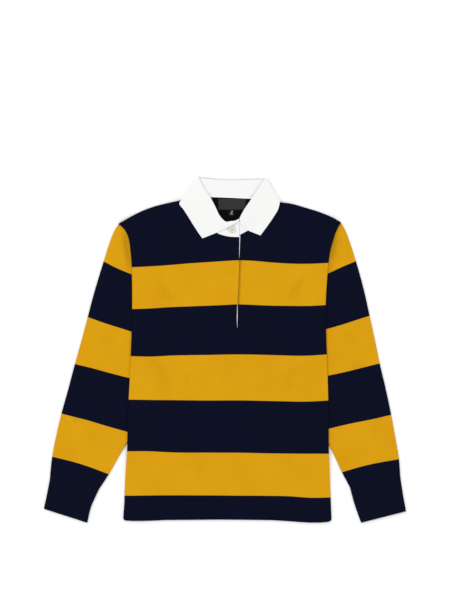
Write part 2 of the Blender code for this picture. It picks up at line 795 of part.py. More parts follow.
def button(collection, cutters):
    """A moulded rubber button with a raised rim, a dished face and four holes."""
    r, h = BUTTON_RADIUS, BUTTON_THICKNESS
    profile = (
        (0.0, 0.72 * h),
        (0.55 * r, 0.72 * h),
        (0.66 * r, 0.94 * h),
        (0.78 * r, h),
        (0.92 * r, 0.86 * h),
        (r, 0.55 * h),
        (0.93 * r, 0.18 * h),
        (0.80 * r, 0.0),
        (0.0, 0.0),
    )
    mesh = bpy.data.meshes.new("button")
    mesh.from_pydata([(x * MM, 0.0, z * MM) for x, z in profile], [(k, k + 1) for k in range(8)], [])
    piece = add_piece("button", mesh, "rubber_cream", collection)
    screw = piece.modifiers.new("turn", "SCREW")
    screw.steps = screw.render_steps = 28
    screw.use_merge_vertices = True
    screw.merge_threshold = 0.00001
    x, y = BUTTON_CENTRE
    span = BUTTON_RADIUS
    slope_x = (stand_face(x + span, y) - stand_face(x - span, y)) / (2 * span)
    slope_y = (stand_face(x, y + span) - stand_face(x, y - span)) / (2 * span)
    normal = Vector((-slope_x, -slope_y, 1.0)).normalized()
    around = [
        (x + span * math.cos(a), y + span * math.sin(a))
        for a in np.linspace(0.0, 2 * math.pi, 12, endpoint=False)
    ]
    plane = max(stand_face(px, py) - slope_x * (px - x) - slope_y * (py - y) for px, py in around)
    seat = Vector((x, y, plane + SEAM_GAP))
    turned = normal.to_track_quat("Z", "Y")
    piece.location = seat * MM
    piece.rotation_mode = "QUATERNION"
    piece.rotation_quaternion = turned
    for k in range(4):
        angle = math.radians(45 + 90 * k)
        place = Vector((math.cos(angle), math.sin(angle), 0.0)) * BUTTON_HOLE_OFFSET
        bm = bmesh.new()
        bmesh.ops.create_cone(
            bm,
            cap_ends=True,
            segments=12,
            radius1=BUTTON_HOLE_RADIUS * MM,
            radius2=BUTTON_HOLE_RADIUS * MM,
            depth=4 * h * MM,
        )
        hole_mesh = bpy.data.meshes.new(f"button_hole_{k + 1}")
        bm.to_mesh(hole_mesh)
        bm.free()
        hole = bpy.data.objects.new(f"button_hole_{k + 1}", hole_mesh)
        hole.hide_render = True
        hole.display_type = "WIRE"
        hole.location = (seat + turned @ place) * MM
        hole.rotation_mode = "QUATERNION"
        hole.rotation_quaternion = turned
        cutters.objects.link(hole)
        cut = piece.modifiers.new(f"hole_{k + 1}", "BOOLEAN")
        cut.operation = "DIFFERENCE"
        cut.solver = "EXACT"
        cut.object = hole
    return piece


def main():
    clear_scene()
    shirt = new_collection("Polo Shirt")
    cutters = new_collection("Cutters")
    panel("back", BACK_NECK, False, shirt)
    panel("front", FRONT_NECK, True, shirt)
    sleeve("sleeve_left", LEFT_SLEEVE, shirt)
    sleeve("sleeve_right", RIGHT_SLEEVE, shirt)
    cuff("cuff_left", LEFT_CUFF, shirt)
    cuff("cuff_right", RIGHT_CUFF, shirt)
    collar_fall(shirt)
    collar_stand(shirt)
    placket_facing(shirt)
    button(shirt, cutters)
    label("label", LABEL, "label_grey", shirt)
    label("size_tab", SIZE_TAB, "tab_black", shirt)


main()
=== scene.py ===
import math

import bmesh
import bpy
import numpy as np
from mathutils import Matrix, Vector


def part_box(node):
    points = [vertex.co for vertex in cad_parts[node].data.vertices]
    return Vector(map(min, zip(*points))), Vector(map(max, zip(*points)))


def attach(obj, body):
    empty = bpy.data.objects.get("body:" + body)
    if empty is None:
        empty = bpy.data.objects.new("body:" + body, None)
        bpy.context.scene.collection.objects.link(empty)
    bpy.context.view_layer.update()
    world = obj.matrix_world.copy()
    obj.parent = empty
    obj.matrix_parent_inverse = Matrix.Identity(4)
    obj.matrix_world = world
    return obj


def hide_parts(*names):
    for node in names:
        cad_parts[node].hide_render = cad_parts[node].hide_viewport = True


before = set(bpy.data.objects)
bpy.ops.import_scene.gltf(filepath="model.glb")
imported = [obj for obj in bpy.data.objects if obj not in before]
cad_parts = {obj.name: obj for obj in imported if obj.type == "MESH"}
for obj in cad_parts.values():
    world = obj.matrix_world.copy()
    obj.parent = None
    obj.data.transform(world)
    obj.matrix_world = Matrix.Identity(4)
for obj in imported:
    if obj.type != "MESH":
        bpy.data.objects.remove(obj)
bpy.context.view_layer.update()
mm = 0.001  # every table below is in millimetres, and every mesh in metres

# how the cloth is stacked, as in the part
jerseyWall = 1.5
ribWall = 1.6
fallWall = 1.5
standWall = 1.4
hollow = 0.6  # air between two layers that lie on each other
seamGap = 0.3
restGap = 0.5
stack = 2 * jerseyWall + hollow
edgeRadius = 2.6

body = {
    # y and x of each side, from the hem up to the shoulder tip
    "leftSide": (
        (-338.5, -203.6), (-305.8, -201.5), (-265.8, -199.9), (-205.8, -195.9), (-133.8, -193.9),
        (-49.8, -189.9), (38.2, -186.5), (94.2, -185.3), (142.2, -185.7), (164.6, -186.3),
        (196.8, -188.9), (223.6, -193.3), (230.6, -195.9), (237.8, -199.7), (244.5, -206.2), (251.2, -212.1),
    ),
    "rightSide": (
        (-340.5, 213.1), (-305.8, 211.9), (-265.8, 210.1), (-205.8, 207.7), (-133.8, 207.1),
        (-49.8, 205.1), (38.2, 202.1), (94.2, 201.5), (142.2, 204.3), (164.6, 206.3),
        (196.8, 210.7), (210.7, 214.3), (223.6, 218.1), (237.8, 223.3), (245.4, 227.2), (253.6, 231.7),
    ),
    # x and y along the hem, the shoulders and the neck seams
    "hem": (
        (-203.6, -338.5), (-202.9, -340.6), (-201.2, -342.2), (-198.4, -343.0), (-185.9, -343.8),
        (-169.9, -343.9), (-137.9, -343.0), (-121.9, -342.0), (-73.9, -341.6), (-9.9, -341.0),
        (54.1, -341.6), (94.1, -342.2), (118.1, -343.6), (150.1, -346.0), (170.1, -347.2),
        (192.1, -347.0), (204.1, -346.0), (209.8, -344.6), (212.2, -342.8), (213.1, -340.5),
    ),
    "leftShoulder": (
        (-212.1, 251.2), (-190.9, 263.4), (-169.9, 274.6), (-142.7, 285.0), (-115.9, 291.9),
        (-90.9, 297.0), (-80.9, 298.6),
    ),
    "rightShoulder": (
        (104.1, 294.2), (112.9, 293.4), (132.7, 290.8), (162.9, 282.4), (195.1, 272.0), (206.1, 267.4),
        (218.1, 261.7), (231.7, 253.6),
    ),
    "frontNeck": (
        (-80.9, 298.6), (-74.9, 282.2), (-57.9, 256.6), (-35.9, 239.0), (-20.0, 233.6), (-6.5, 228.2),
        (5.0, 225.2), (16.0, 224.1), (28.9, 223.8), (30.5, 228.4), (45.1, 236.4), (66.1, 248.2),
        (85.1, 266.2), (99.1, 284.2), (104.1, 294.2),
    ),
    "backNeck": (
        (-80.9, 298.6), (-57.9, 301.8), (-29.9, 304.4), (12.1, 302.8), (54.1, 300.8), (80.1, 297.6),
        (104.1, 294.2),
    ),
}
sleeves = {
    # outer x, y and inner x, y from the shoulder tip to the cuff
    "left": (
        (-212.9, 249.6, -187.9, 239.2), (-220.5, 238.2, -173.9, 218.2), (-230.3, 214.2, -165.9, 190.2),
        (-242.9, 174.6, -157.9, 146.2), (-252.9, 142.4, -151.9, 110.2), (-264.1, 104.4, -145.9, 68.2),
        (-274.1, 65.6, -139.9, 24.2), (-286.7, 18.4, -133.9, -25.8), (-300.5, -30.8, -135.9, -71.8),
        (-312.9, -77.8, -151.9, -115.8), (-326.5, -126.8, -180.9, -164.8), (-336.3, -167.8, -205.3, -202.8),
        (-345.9, -216.4, -232.1, -249.8), (-350.3, -257.8, -251.9, -280.4),
    ),
    "right": (
        (233.3, 251.0, 208.1, 239.2), (240.1, 238.8, 194.1, 218.2), (249.5, 214.4, 186.1, 190.2),
        (262.1, 175.4, 178.1, 146.2), (271.7, 142.4, 172.1, 112.2), (281.3, 104.4, 166.1, 70.2),
        (289.3, 67.2, 160.1, 28.2), (299.9, 18.2, 152.1, -23.8), (309.9, -29.8, 154.1, -67.8),
        (321.3, -77.8, 168.1, -111.8), (332.7, -131.8, 194.1, -163.8), (339.5, -169.8, 218.1, -211.8),
        (348.3, -221.8, 234.1, -246.6), (350.9, -255.8, 250.1, -276.6),
    ),
}
cuffs = {
    "left": (
        (-349.9, -257.8, -251.9, -280.4), (-355.9, -289.8, -267.9, -315.8), (-362.3, -319.4, -275.5, -347.4),
    ),
    "right": (
        (350.9, -255.8, 250.1, -276.6), (355.7, -287.8, 259.1, -309.8), (362.3, -324.4, 272.5, -347.4),
    ),
}
fall = {
    # the roll's x, y and the outer edge's x, y; at its front the rows bend along the free edge, and
    # these are the marks of their points on the way across
    "marks": (0.0, 0.08, 0.3, 0.6, 1.0),
    "lap": (
        ((28.2, 261.0), (26.8, 254.6), (10.2, 244.6), (-14.1, 233.6), (-44.9, 221.4)),
        ((21.0, 256.8), (18.8, 251.6), (4.0, 245.2), (-17.4, 236.4), (-46.1, 222.8)),
        ((11.5, 255.7), (9.5, 251.4), (-4.0, 246.2), (-22.4, 239.0), (-47.4, 224.6)),
        ((2.3, 254.3), (0.4, 250.6), (-11.5, 246.4), (-27.6, 240.4), (-49.0, 226.6)),
    ),
    "left": (
        (-1.9, 257.0, -51.3, 229.8), (-9.1, 264.8, -62.1, 246.2), (-19.9, 286.2, -73.1, 264.2),
        (-29.9, 304.8, -82.9, 279.2), (-42.9, 324.2, -91.1, 289.9),
    ),
    "leftWrap": (-52.9, 345.0, -87.3, 298.4),
    "back": (
        (-34.9, 343.6, -61.9, 288.2), (-13.9, 341.6, -33.9, 283.2), (12.1, 340.6, 12.1, 281.2),
        (40.1, 341.4, 54.1, 281.2), (66.1, 342.2, 86.1, 285.2),
    ),
    "rightWrap": (80.7, 341.2, 109.9, 294.2),
    "right": (
        (67.1, 321.2, 106.1, 279.0), (55.1, 303.2, 97.3, 264.2), (43.1, 286.2, 88.5, 251.2),
        (33.7, 271.0, 79.1, 238.2),
    ),
    "rightEnd": ((29.0, 261.4), (28.9, 256.6), (34.4, 246.4), (47.2, 236.6), (70.9, 227.2)),
}
stand = {
    # the top edge's x, y and the neck seam's x, y
    "lap": ((28.2, 261.0, 28.5, 223.8), (21.0, 256.8, 16.0, 224.1), (11.5, 255.7, 5.0, 225.2)),
    "left": (
        (2.0, 254.2, -6.5, 228.2), (-9.1, 264.8, -20.0, 233.6), (-19.9, 286.2, -35.9, 239.0),
        (-29.9, 304.8, -57.9, 256.6), (-42.9, 324.2, -74.9, 282.2),
    ),
    "back": (
        (-44.0, 344.3, -57.9, 301.8), (-27.0, 342.8, -29.9, 304.4), (12.1, 340.6, 12.1, 302.8),
        (50.0, 341.7, 54.1, 300.8), (68.0, 342.1, 80.1, 297.6),
    ),
    "right": (
        (67.1, 321.2, 99.1, 284.2), (55.1, 303.2, 85.1, 266.2), (43.1, 286.2, 66.1, 248.2),
        (33.7, 271.0, 45.1, 236.4),
    ),
    "underlap": ((31.4, 263.8, 30.5, 229.0), (27.4, 259.0, 27.4, 227.6), (8.0, 250.0, 8.0, 227.4)),
}


def ease(t):
    t = np.clip(t, 0.0, 1.0)
    return t * t * (3.0 - 2.0 * t)


def readAt(table, at):
    rows = np.asarray(table, float)
    return np.interp(at, rows[:, 0], rows[:, 1])


def smoothLine(rows, spacing):
    # a curve through the rows of a table, with a point about every spacing
    rows = np.asarray(rows, float)
    gaps = np.linalg.norm(np.diff(rows[:, :2], axis=0), axis=1)
    way = np.diff(rows, axis=0) / gaps[:, None]
    middle = (way[:-1] * gaps[1:, None] + way[1:] * gaps[:-1, None]) / (gaps[1:] + gaps[:-1])[:, None]
    slopes = np.vstack([way[:1], middle, way[-1:]])
    out = []
    for k, gap in enumerate(gaps):
        count = max(1, round(gap / spacing))
        t = (np.arange(count) / count)[:, None]
        out.append(
            rows[k] * (2 * t**3 - 3 * t**2 + 1) + rows[k + 1] * (3 * t**2 - 2 * t**3)
            + gap * (slopes[k] * (t**3 - 2 * t**2 + t) + slopes[k + 1] * (t**3 - t**2))
        )
    return np.vstack([*out, rows[-1:]])


def distanceAlong(line):
    return np.concatenate([[0.0], np.cumsum(np.linalg.norm(np.diff(line, axis=0), axis=1))])


def lineDistance(x, y, line):
    # distance in plan from each point to a line of points
    line = np.asarray(line, float)
    nearest = np.full(np.shape(x), 1e9)
    for start, end in zip(line[:-1], line[1:]):
        along = end - start
        share = ((x - start[0]) * along[0] + (y - start[1]) * along[1]) / (along @ along)
        share = np.clip(share, 0.0, 1.0)
        nearest = np.minimum(
            nearest, np.hypot(x - start[0] - along[0] * share, y - start[1] - along[1] * share)
        )
    return nearest


def areaDistance(x, y, outline):
    # 0 inside a closed outline, and the distance to it outside
    corners = np.asarray(outline, float)
    closed = np.vstack([corners, corners[:1]])
    inside = np.zeros(np.shape(x), bool)
    for (x0, y0), (x1, y1) in zip(closed[:-1], closed[1:]):
        if y0 == y1:
            continue
        meets = x0 + (y - y0) * (x1 - x0) / (y1 - y0)
        inside ^= ((y0 > y) != (y1 > y)) & (meets > x)
    return np.where(inside, 0.0, lineDistance(x, y, closed))


def footprint(stations):
    return [row[:2] for row in stations] + [row[2:] for row in stations][::-1]


leftSide, rightSide, leftShoulder, rightShoulder = (
    smoothLine(body[name], 6.0) for name in ("leftSide", "rightSide", "leftShoulder", "rightShoulder"))
hemLine = np.array(body["hem"], float)
sleeveAreas = [footprint(rows) for rows in sleeves.values()]
fallArea = footprint((fall["leftWrap"], *fall["back"], fall["rightWrap"]))
rollRows = (*fall["left"], fall["leftWrap"], *fall["back"], fall["rightWrap"], *fall["right"])
rollLine = [fall["lap"][-1][0], *(row[:2] for row in rollRows), fall["rightEnd"][0]]

# soft folds, each a ridge (or, where its height is below 0, a trough) along a line in plan

bodyFolds = {
    # x, y to x, y, half its width, height
    "ridges": (
        (-172, 196, -148, 96, 15, 0.9), (-150, 128, -96, 84, 17, 0.7), (184, 206, 160, 120, 15, 0.9),
        (168, 158, 122, 92, 13, 0.8), (-96, 20, -150, -92, 24, 0.6), (112, 14, 168, -96, 26, 0.6),
        (-60, -120, -92, -262, 22, 0.5), (70, -150, 96, -290, 24, 0.6), (-14, -20, 12, -150, 20, 0.4),
        (-128, -210, -150, -318, 14, 0.5), (158, -228, 172, -326, 13, 0.6), (28, -236, 22, -330, 16, 0.4),
        (-70, 176, -20, 132, 16, 0.4), (96, 186, 62, 138, 15, 0.4),
    ),
    "troughs": (
        (-128, 124, -104, 96, 8, -0.7), (158, 144, 130, 102, 7, -0.8), (-74.7, -48, -75.3, -76, 3.5, -0.6),
        (-146, -10, -120, -70, 10, -0.5), (140, -30, 118, -84, 11, -0.5), (-40, -206, -52, -250, 9, -0.4),
        (128, -182, 134, -232, 9, -0.5), (54, 60, 66, 8, 8, -0.4), (-88, 62, -104, 30, 7, -0.4),
    ),
}
sleeveFolds = {
    "left": (
        (-226, 206, -216, 96, 11, 1.2), (-201, 232, -192, 172, 6, -1.3), (-193, 168, -191, 120, 5, -0.5),
        (-246, 150, -232, 78, 9, 0.8), (-216, 66, -262, 20, 12, 0.9), (-214, -6, -274, -30, 13, 0.8),
        (-236, -66, -296, -84, 12, 0.9), (-226, 24, -250, 12, 7, -0.25), (-244, -44, -284, -54, 7, -0.5),
        (-262, -112, -312, -140, 12, 0.8), (-252, -150, -300, -178, 10, 0.6),
        (-276, -128, -300, -142, 6, -0.5), (-258, -206, -328, -196, 11, 0.6),
        (-268, -240, -336, -226, 9, 0.5),
    ),
    "right": (
        (246, 208, 236, 100, 11, 1.2), (221, 230, 212, 176, 7, -1.2), (211, 168, 209, 122, 5, -0.5),
        (266, 146, 252, 70, 9, 0.8), (232, 70, 276, 26, 12, 0.9), (228, 0, 290, -24, 13, 0.7),
        (246, -58, 304, -82, 12, 0.9), (240, 30, 262, 14, 7, -0.25), (258, -38, 294, -50, 7, -0.5),
        (268, -108, 318, -128, 12, 0.8), (262, -146, 308, -170, 10, 0.6), (284, -122, 306, -134, 6, -0.5),
        (262, -200, 330, -192, 11, 0.6), (272, -236, 334, -224, 9, 0.5),
    ),
}


def foldHeight(x, y, folds):
    # each fold is highest at its middle and runs out to nothing at both its ends
    height = np.zeros(np.shape(x))
    for x0, y0, x1, y1, halfWidth, rise in folds:
        along = np.array([x1 - x0, y1 - y0], float)
        share = ((x - x0) * along[0] + (y - y0) * along[1]) / (along @ along)
        off = ((x - x0) * along[1] - (y - y0) * along[0]) / np.hypot(*along)
        ends = ease((share + 0.25) / 0.5) * ease((1.25 - share) / 0.5)
        height += rise * ends * np.exp(-((off / halfWidth) ** 2))
    return height


def hollowShade(x, y, folds, depth):
    # how much darker the cloth is where a trough shades it
    return np.clip(-depth * foldHeight(x, y, [fold for fold in folds if fold[5] < 0]), 0.0, 0.3)


climb = {"clear": 10.0, "reach": 30.0}  # the cloth comes down over this reach, from so far off


def climbShare(x, y, area):
    # 1 on an area that the cloth climbs over, and 0 well beside it
    return 1.0 - ease((areaDistance(x, y, area) - climb["clear"]) / climb["reach"])


def bodyLift(x, y):
    # the body climbs over the sleeves that are tucked under it, and over the back of the fall
    lift = sum((stack + seamGap) * climbShare(x, y, area) for area in sleeveAreas)
    return lift + (fallWall + restGap) * climbShare(x, y, fallArea)


bodyCalm = {
    # where the front's relief runs out, and over how much
    "sideRun": 26.0,
    "topY": 206.0,
    "topRun": 30.0,
    "hemY": -340.0,
    "hemRun": 16.0,
    # the pressed placket keeps little of it
    "slitShare": 0.8,
    "slitFootY": 20.0,
    "slitFootRun": 30.0,
    "slitX": 8.0,
    "slitHalf": 26.0,
    "slitRun": 26.0,
}


def bodyRelief(x, y):
    # the front's folds, which run out before the side edges, the collar and the placket
    left, right = np.interp(y, *leftSide.T), np.interp(y, *rightSide.T)
    inwards = ease(np.minimum(x - left, right - x) / bodyCalm["sideRun"])
    inwards = inwards * ease((bodyCalm["topY"] - y) / bodyCalm["topRun"])
    inwards = inwards * ease((y - bodyCalm["hemY"]) / bodyCalm["hemRun"])
    beside = 1.0 - ease((np.abs(x - bodyCalm["slitX"]) - bodyCalm["slitHalf"]) / bodyCalm["slitRun"])
    upSlit = ease((y - bodyCalm["slitFootY"]) / bodyCalm["slitFootRun"])
    nearSlit = 1.0 - bodyCalm["slitShare"] * upSlit * beside
    swell = 0.5 + 0.12 * np.sin(x / 41.0 + y / 67.0) + 0.1 * np.sin(y / 38.0 - x / 90.0)
    folds = foldHeight(x, y, bodyFolds["ridges"]) + foldHeight(x, y, bodyFolds["troughs"])
    return inwards * nearSlit * (swell + folds)


placket = {
    "endY": 38.0,  # the foot of the slit
    "columnX": 28.9,  # its left edge where it meets the neck seam
    "farColumnX": 30.5,
    "width": 34.0,
    "ramp": 24.0,  # over which the jersey climbs onto the facing
    "lift": 2.0,
    "footRamp": 14.0,
    "facingWall": 1.2,
    "facingGap": 0.4,  # between the facing and the cloth beside and under it
    "shade": 0.6,  # how dark the cloth is in the step beside the slit, and over how much
    "shadeFrom": 0.6,
    "shadeRun": 5.6,
    "shadeFootRun": 8.0,
    "sewnIn": 29.5,  # its row of stitches stands this far in from the slit
    "sewnTopY": 221.0,
    # y and the slit's x
    "edge": ((38, 25.2), (50, 24.0), (62, 23.5), (80, 24.2), (98, 25.3), (120, 26.7), (150, 28.0),
             (172, 28.6), (182, 28.3), (190, 28.2), (223.8, 28.7)),
    # y and how far the white facing shows past the slit's edge
    "shows": ((41, 0.2), (50, 1.0), (62, 1.6), (80, 1.2), (95, 0.1), (99, -1.2), (177, -1.2), (181, 0.2),
              (190, 1.0), (226, 1.9)),
}
yokeY = 146.0  # rows are level up to here and fan out to the neck above


def slitX(y):
    return readAt(placket["edge"], y)


def placketLift(x, y):
    edge = slitX(y)
    rise = ease((x - (edge - placket["width"] - placket["ramp"])) / placket["ramp"])
    rise = rise * ease((y - placket["endY"] + placket["footRamp"]) / placket["footRamp"])
    return np.where(x > edge + seamGap, 0.0, placket["lift"] * rise)


# the roll's height at the back, how much higher it is at the front, and how far beside it that shows
roll = {"back": 0.9, "more": 2.5, "backY": 342.0, "run": 54.0, "reach": 38.0}
buttonSpot = {"x": 14.0, "y": 239.6, "rise": 2.5, "reach": 7.5, "run": 8.0}


def rollRise(x, y):
    # how much the collar stands up beside its roll line
    height = roll["back"] + roll["more"] * ease((roll["backY"] - y) / roll["run"])
    return height * (1.0 - ease(lineDistance(x, y, rollLine) / roll["reach"]))


def buttonRise(x, y):
    # the fall's front edge passes over the top of the button
    away = np.hypot(x - buttonSpot["x"], y - buttonSpot["y"])
    return buttonSpot["rise"] * (1.0 - ease((away - buttonSpot["reach"]) / buttonSpot["run"]))


# small creases pressed into the collar: x, y to x, y, half its width, height
collarFolds = (
    (-33, 267, -20, 277, 2.6, -0.3), (-39, 263, -27, 284, 4.5, 0.5), (-62, 258, -68, 280, 7.0, 0.4),
    (-34, 240, -50, 236, 5.0, 0.3), (-44, 300, -62, 292, 6.0, 0.35), (50, 262, 60, 250, 3.6, 0.45),
    (66, 240, 78, 250, 5.0, 0.3), (74, 268, 88, 280, 6.0, 0.35), (62, 272, 68, 262, 3.0, -0.25),
    (-24, 326, 4, 322, 8.0, 0.35), (22, 318, 54, 324, 9.0, 0.3), (40, 332, 58, 322, 4.0, -0.25),
)


def fallTop(x, y, lapped=True):
    lift = bodyLift(x, y) + bodyRelief(x, y) + rollRise(x, y) + foldHeight(x, y, collarFolds)
    if lapped:
        lift = lift + placketLift(x, y)
    return lift + stack + restGap + fallWall


def linear(hexColour):
    channels = [int(hexColour[k:k + 2], 16) / 255 for k in (1, 3, 5)]
    return [c / 12.92 if c <= 0.04045 else ((c + 0.055) / 1.055) ** 2.4 for c in channels] + [1.0]


def addNode(tree, kind, settings=None, inputs=None):
    node = tree.nodes.new("ShaderNode" + kind)
    for name, value in (settings or {}).items():
        setattr(node, name, value)
    for name, value in (inputs or {}).items():
        if isinstance(value, bpy.types.NodeSocket):
            tree.links.new(value, node.inputs[name])
        else:
            node.inputs[name].default_value = value
    return node


def mathNode(tree, operation, *values, clamp=False):
    settings = {"operation": operation, "use_clamp": clamp}
    return addNode(tree, "Math", settings, dict(enumerate(values))).outputs[0]


def mapRange(tree, value, low, high, newLow=0.0, newHigh=1.0, kind="LINEAR"):
    return addNode(tree, "MapRange", {"interpolation_type": kind}, {
        "Value": value, "From Min": low, "From Max": high, "To Min": newLow, "To Max": newHigh,
    }).outputs["Result"]


def mixed(tree, share, first, second):
    return addNode(tree, "Mix", {"data_type": "RGBA"}, {0: share, 6: first, 7: second}).outputs[2]


def noise(tree, scale, detail):
    place = addNode(tree, "TexCoord").outputs["Object"]
    texture = addNode(tree, "TexNoise", inputs={"Vector": place, "Scale": scale, "Detail": detail})
    return texture.outputs["Fac"]


def attribute(tree, name):
    return addNode(tree, "Attribute", {"attribute_name": name}).outputs["Fac"]


def clothPlace(tree):
    uv = addNode(tree, "UVMap", {"uv_map": "cloth"})
    return addNode(tree, "SeparateXYZ", inputs={0: uv.outputs["UV"]}).outputs


def newMaterial(name, finish):
    material = bpy.data.materials.new(name)
    material.use_nodes = True
    tree = material.node_tree
    shader = tree.nodes["Principled BSDF"]
    for socket, value in finish.items():
        shader.inputs[socket].default_value = value
    return material, tree, shader


def dress(tree, shader, colour, height, strength, depth):
    # the colour, and a relief too fine for the mesh
    tree.links.new(colour, shader.inputs["Base Color"])
    bump = addNode(tree, "Bump", inputs={"Strength": strength, "Distance": depth, "Height": height})
    tree.links.new(bump.outputs["Normal"], shader.inputs["Normal"])


def finishOf(roughness, specular, ior=1.47):
    return {"Roughness": roughness, "IOR": ior, "Metallic": 0.0, "Specular IOR Level": specular}


cottonKnit = {
    "navy": "#0A0F24",
    "navyDeep": "#070B1A",
    "gold": "#DAA012",
    "goldDeep": "#CC900B",
    "inShade": "#0B0B0D",
    "wale": 2.4,  # mm across a column of stitches; a real one is 1.1, too fine to show
    "course": 1.9,  # mm up a row of stitches; a real one is 0.9
    "edge": 0.012,  # how soft the change from one colour to the next is
}
ribKnit = {"navy": "#0E1328", "navyDeep": "#070A16", "wale": 1.8, "course": 1.7}


def knitHeight(tree, knit):
    # columns of V stitches: 0 in the gaps between them, 1 on the yarn
    place = clothPlace(tree)
    share = mathNode(tree, "PINGPONG", mathNode(tree, "DIVIDE", place["X"], knit["wale"] * mm), 0.5)
    row = mathNode(tree, "DIVIDE", place["Y"], knit["course"] * mm)
    slant = mathNode(tree, "MULTIPLY_ADD", share, 1.2, row)
    wave = mathNode(tree, "SINE", mathNode(tree, "MULTIPLY", slant, 2 * math.pi))
    yarn = mapRange(tree, wave, -1.0, 1.0, 0.25, 1.0)
    return mathNode(tree, "MULTIPLY", yarn, mapRange(tree, share, 0.0, 0.22, kind="SMOOTHSTEP"))


def stripedJersey():
    # heavy cotton jersey, knitted and brushed: matte, with small soft loops; its colour is a little deeper in
    # soft random patches, and deeper in the gaps between the loops, where shade is painted
    material, tree, shader = newMaterial("stripedCottonJersey", finishOf(0.92, 0.05))
    height = knitHeight(tree, cottonKnit)
    mottle = mathNode(tree, "MULTIPLY_ADD", noise(tree, 420.0, 2.0), 0.5, noise(tree, 16.0, 3.0))
    # painted shade: the colour deepens where the knit's height drops into the gaps between the loops; the
    # random patches add a deeper tone on top of it
    depth = mathNode(tree, "ADD", mapRange(tree, mottle, 0.5, 1.0, 0.0, 0.4),
                     mapRange(tree, height, 0.0, 0.8, 0.35, 0.0), clamp=True)
    navy, gold = (mixed(tree, depth, linear(cottonKnit[name]), linear(cottonKnit[name + "Deep"]))
                  for name in ("navy", "gold"))
    wave = mathNode(tree, "SINE", mathNode(tree, "MULTIPLY", attribute(tree, "stripe"), math.pi))
    change = mapRange(tree, wave, -cottonKnit["edge"], cottonKnit["edge"], kind="SMOOTHSTEP")
    striped = mixed(tree, change, navy, gold)
    shaded = mixed(tree, attribute(tree, "shade"), striped, linear(cottonKnit["inShade"]))
    dress(tree, shader, shaded, height, 0.35, 0.0004)
    return material


def navyRib():
    # rib knit: the ribs are in the mesh, and the loops are tighter than the jersey's
    material, tree, shader = newMaterial("navyRibKnit", finishOf(0.94, 0.05))
    height = knitHeight(tree, ribKnit)
    # painted shade: the colour is darker in the gaps between the loops, where the knit's height is low
    colour = mixed(tree, height, linear(ribKnit["navyDeep"]), linear(ribKnit["navy"]))
    dress(tree, shader, colour, height, 0.4, 0.0004)
    return material


def wovenCloth(name, light, deep, pitch, slant, finish):
    # fine slanting lines of a twill, or level ones of a tape where the slant is 0
    material, tree, shader = newMaterial(name, finish)
    place = clothPlace(tree)
    across = mathNode(tree, "MULTIPLY_ADD", place["X"], slant, place["Y"])
    wave = mathNode(tree, "SINE", mathNode(tree, "MULTIPLY", across, 2 * math.pi / (pitch * mm)))
    height = mathNode(tree, "MULTIPLY_ADD", wave, 0.3, noise(tree, 260.0, 3.0))
    # painted shade: the colour is deeper in the grooves between the lines, where the height is low; the noise
    # in the height adds a random grain as well
    colour = mixed(tree, mapRange(tree, height, 0.1, 0.9), linear(deep), linear(light))
    dress(tree, shader, colour, height, 0.3, 0.0003)
    return material


def speckled(name, light, deep, scale, finish, bumpDepth):
    # a plain colour with a faint grain: moulded rubber, thread, a paper floor
    material, tree, shader = newMaterial(name, finish)
    grain = noise(tree, scale, 3.0)
    dress(tree, shader, mixed(tree, grain, linear(deep), linear(light)), grain, 0.2, bumpDepth)
    return material


clothFinish = finishOf(0.85, 0.2)
threadFinish = finishOf(0.6, 0.3, 1.5)
jersey = stripedJersey()
rib = navyRib()
# cotton twill, woven and pressed: slanting lines, which are 0.9 mm apart on the real collar
twill = wovenCloth("whiteCottonTwill", "#F2F3F1", "#EDEEEC", 1.8, 1.0, clothFinish)
# herringbone tape: soft white with a fine level weave
tape = wovenCloth("whiteHerringboneTape", "#F8FAFF", "#ECEFF8", 1.4, 0.0, clothFinish)
# woven satin label: smooth dark grey, a little silkier than the cloth round it
labelSatin = wovenCloth("greySatinLabel", "#2E2E2F", "#242425", 1.0, 0.0, finishOf(0.6, 0.2))
tabWeave = wovenCloth("blackTaffetaTab", "#121214", "#0A0A0C", 1.0, 0.0, clothFinish)
whiteThread = speckled("whitePolyesterThread", "#F6F6F3", "#E6E6E0", 900.0, threadFinish, 0.0001)
navyThread = speckled("navyPolyesterThread", "#171D38", "#0D1226", 900.0, finishOf(0.6, 0.08, 1.5), 0.0001)
greyThread = speckled("greyPolyesterThread", "#4A4A4B", "#383839", 900.0, threadFinish, 0.0001)
markThread = speckled("paleLabelThread", "#D8D8DC", "#B4B4BA", 900.0, threadFinish, 0.0001)
# moulded rubber: cream and satin, with a faint mottle
rubber = speckled("creamMouldedRubber", "#E6E4D6", "#DAD7C7", 300.0, finishOf(0.42, 0.5, 1.52), 0.00005)
print("materials made")


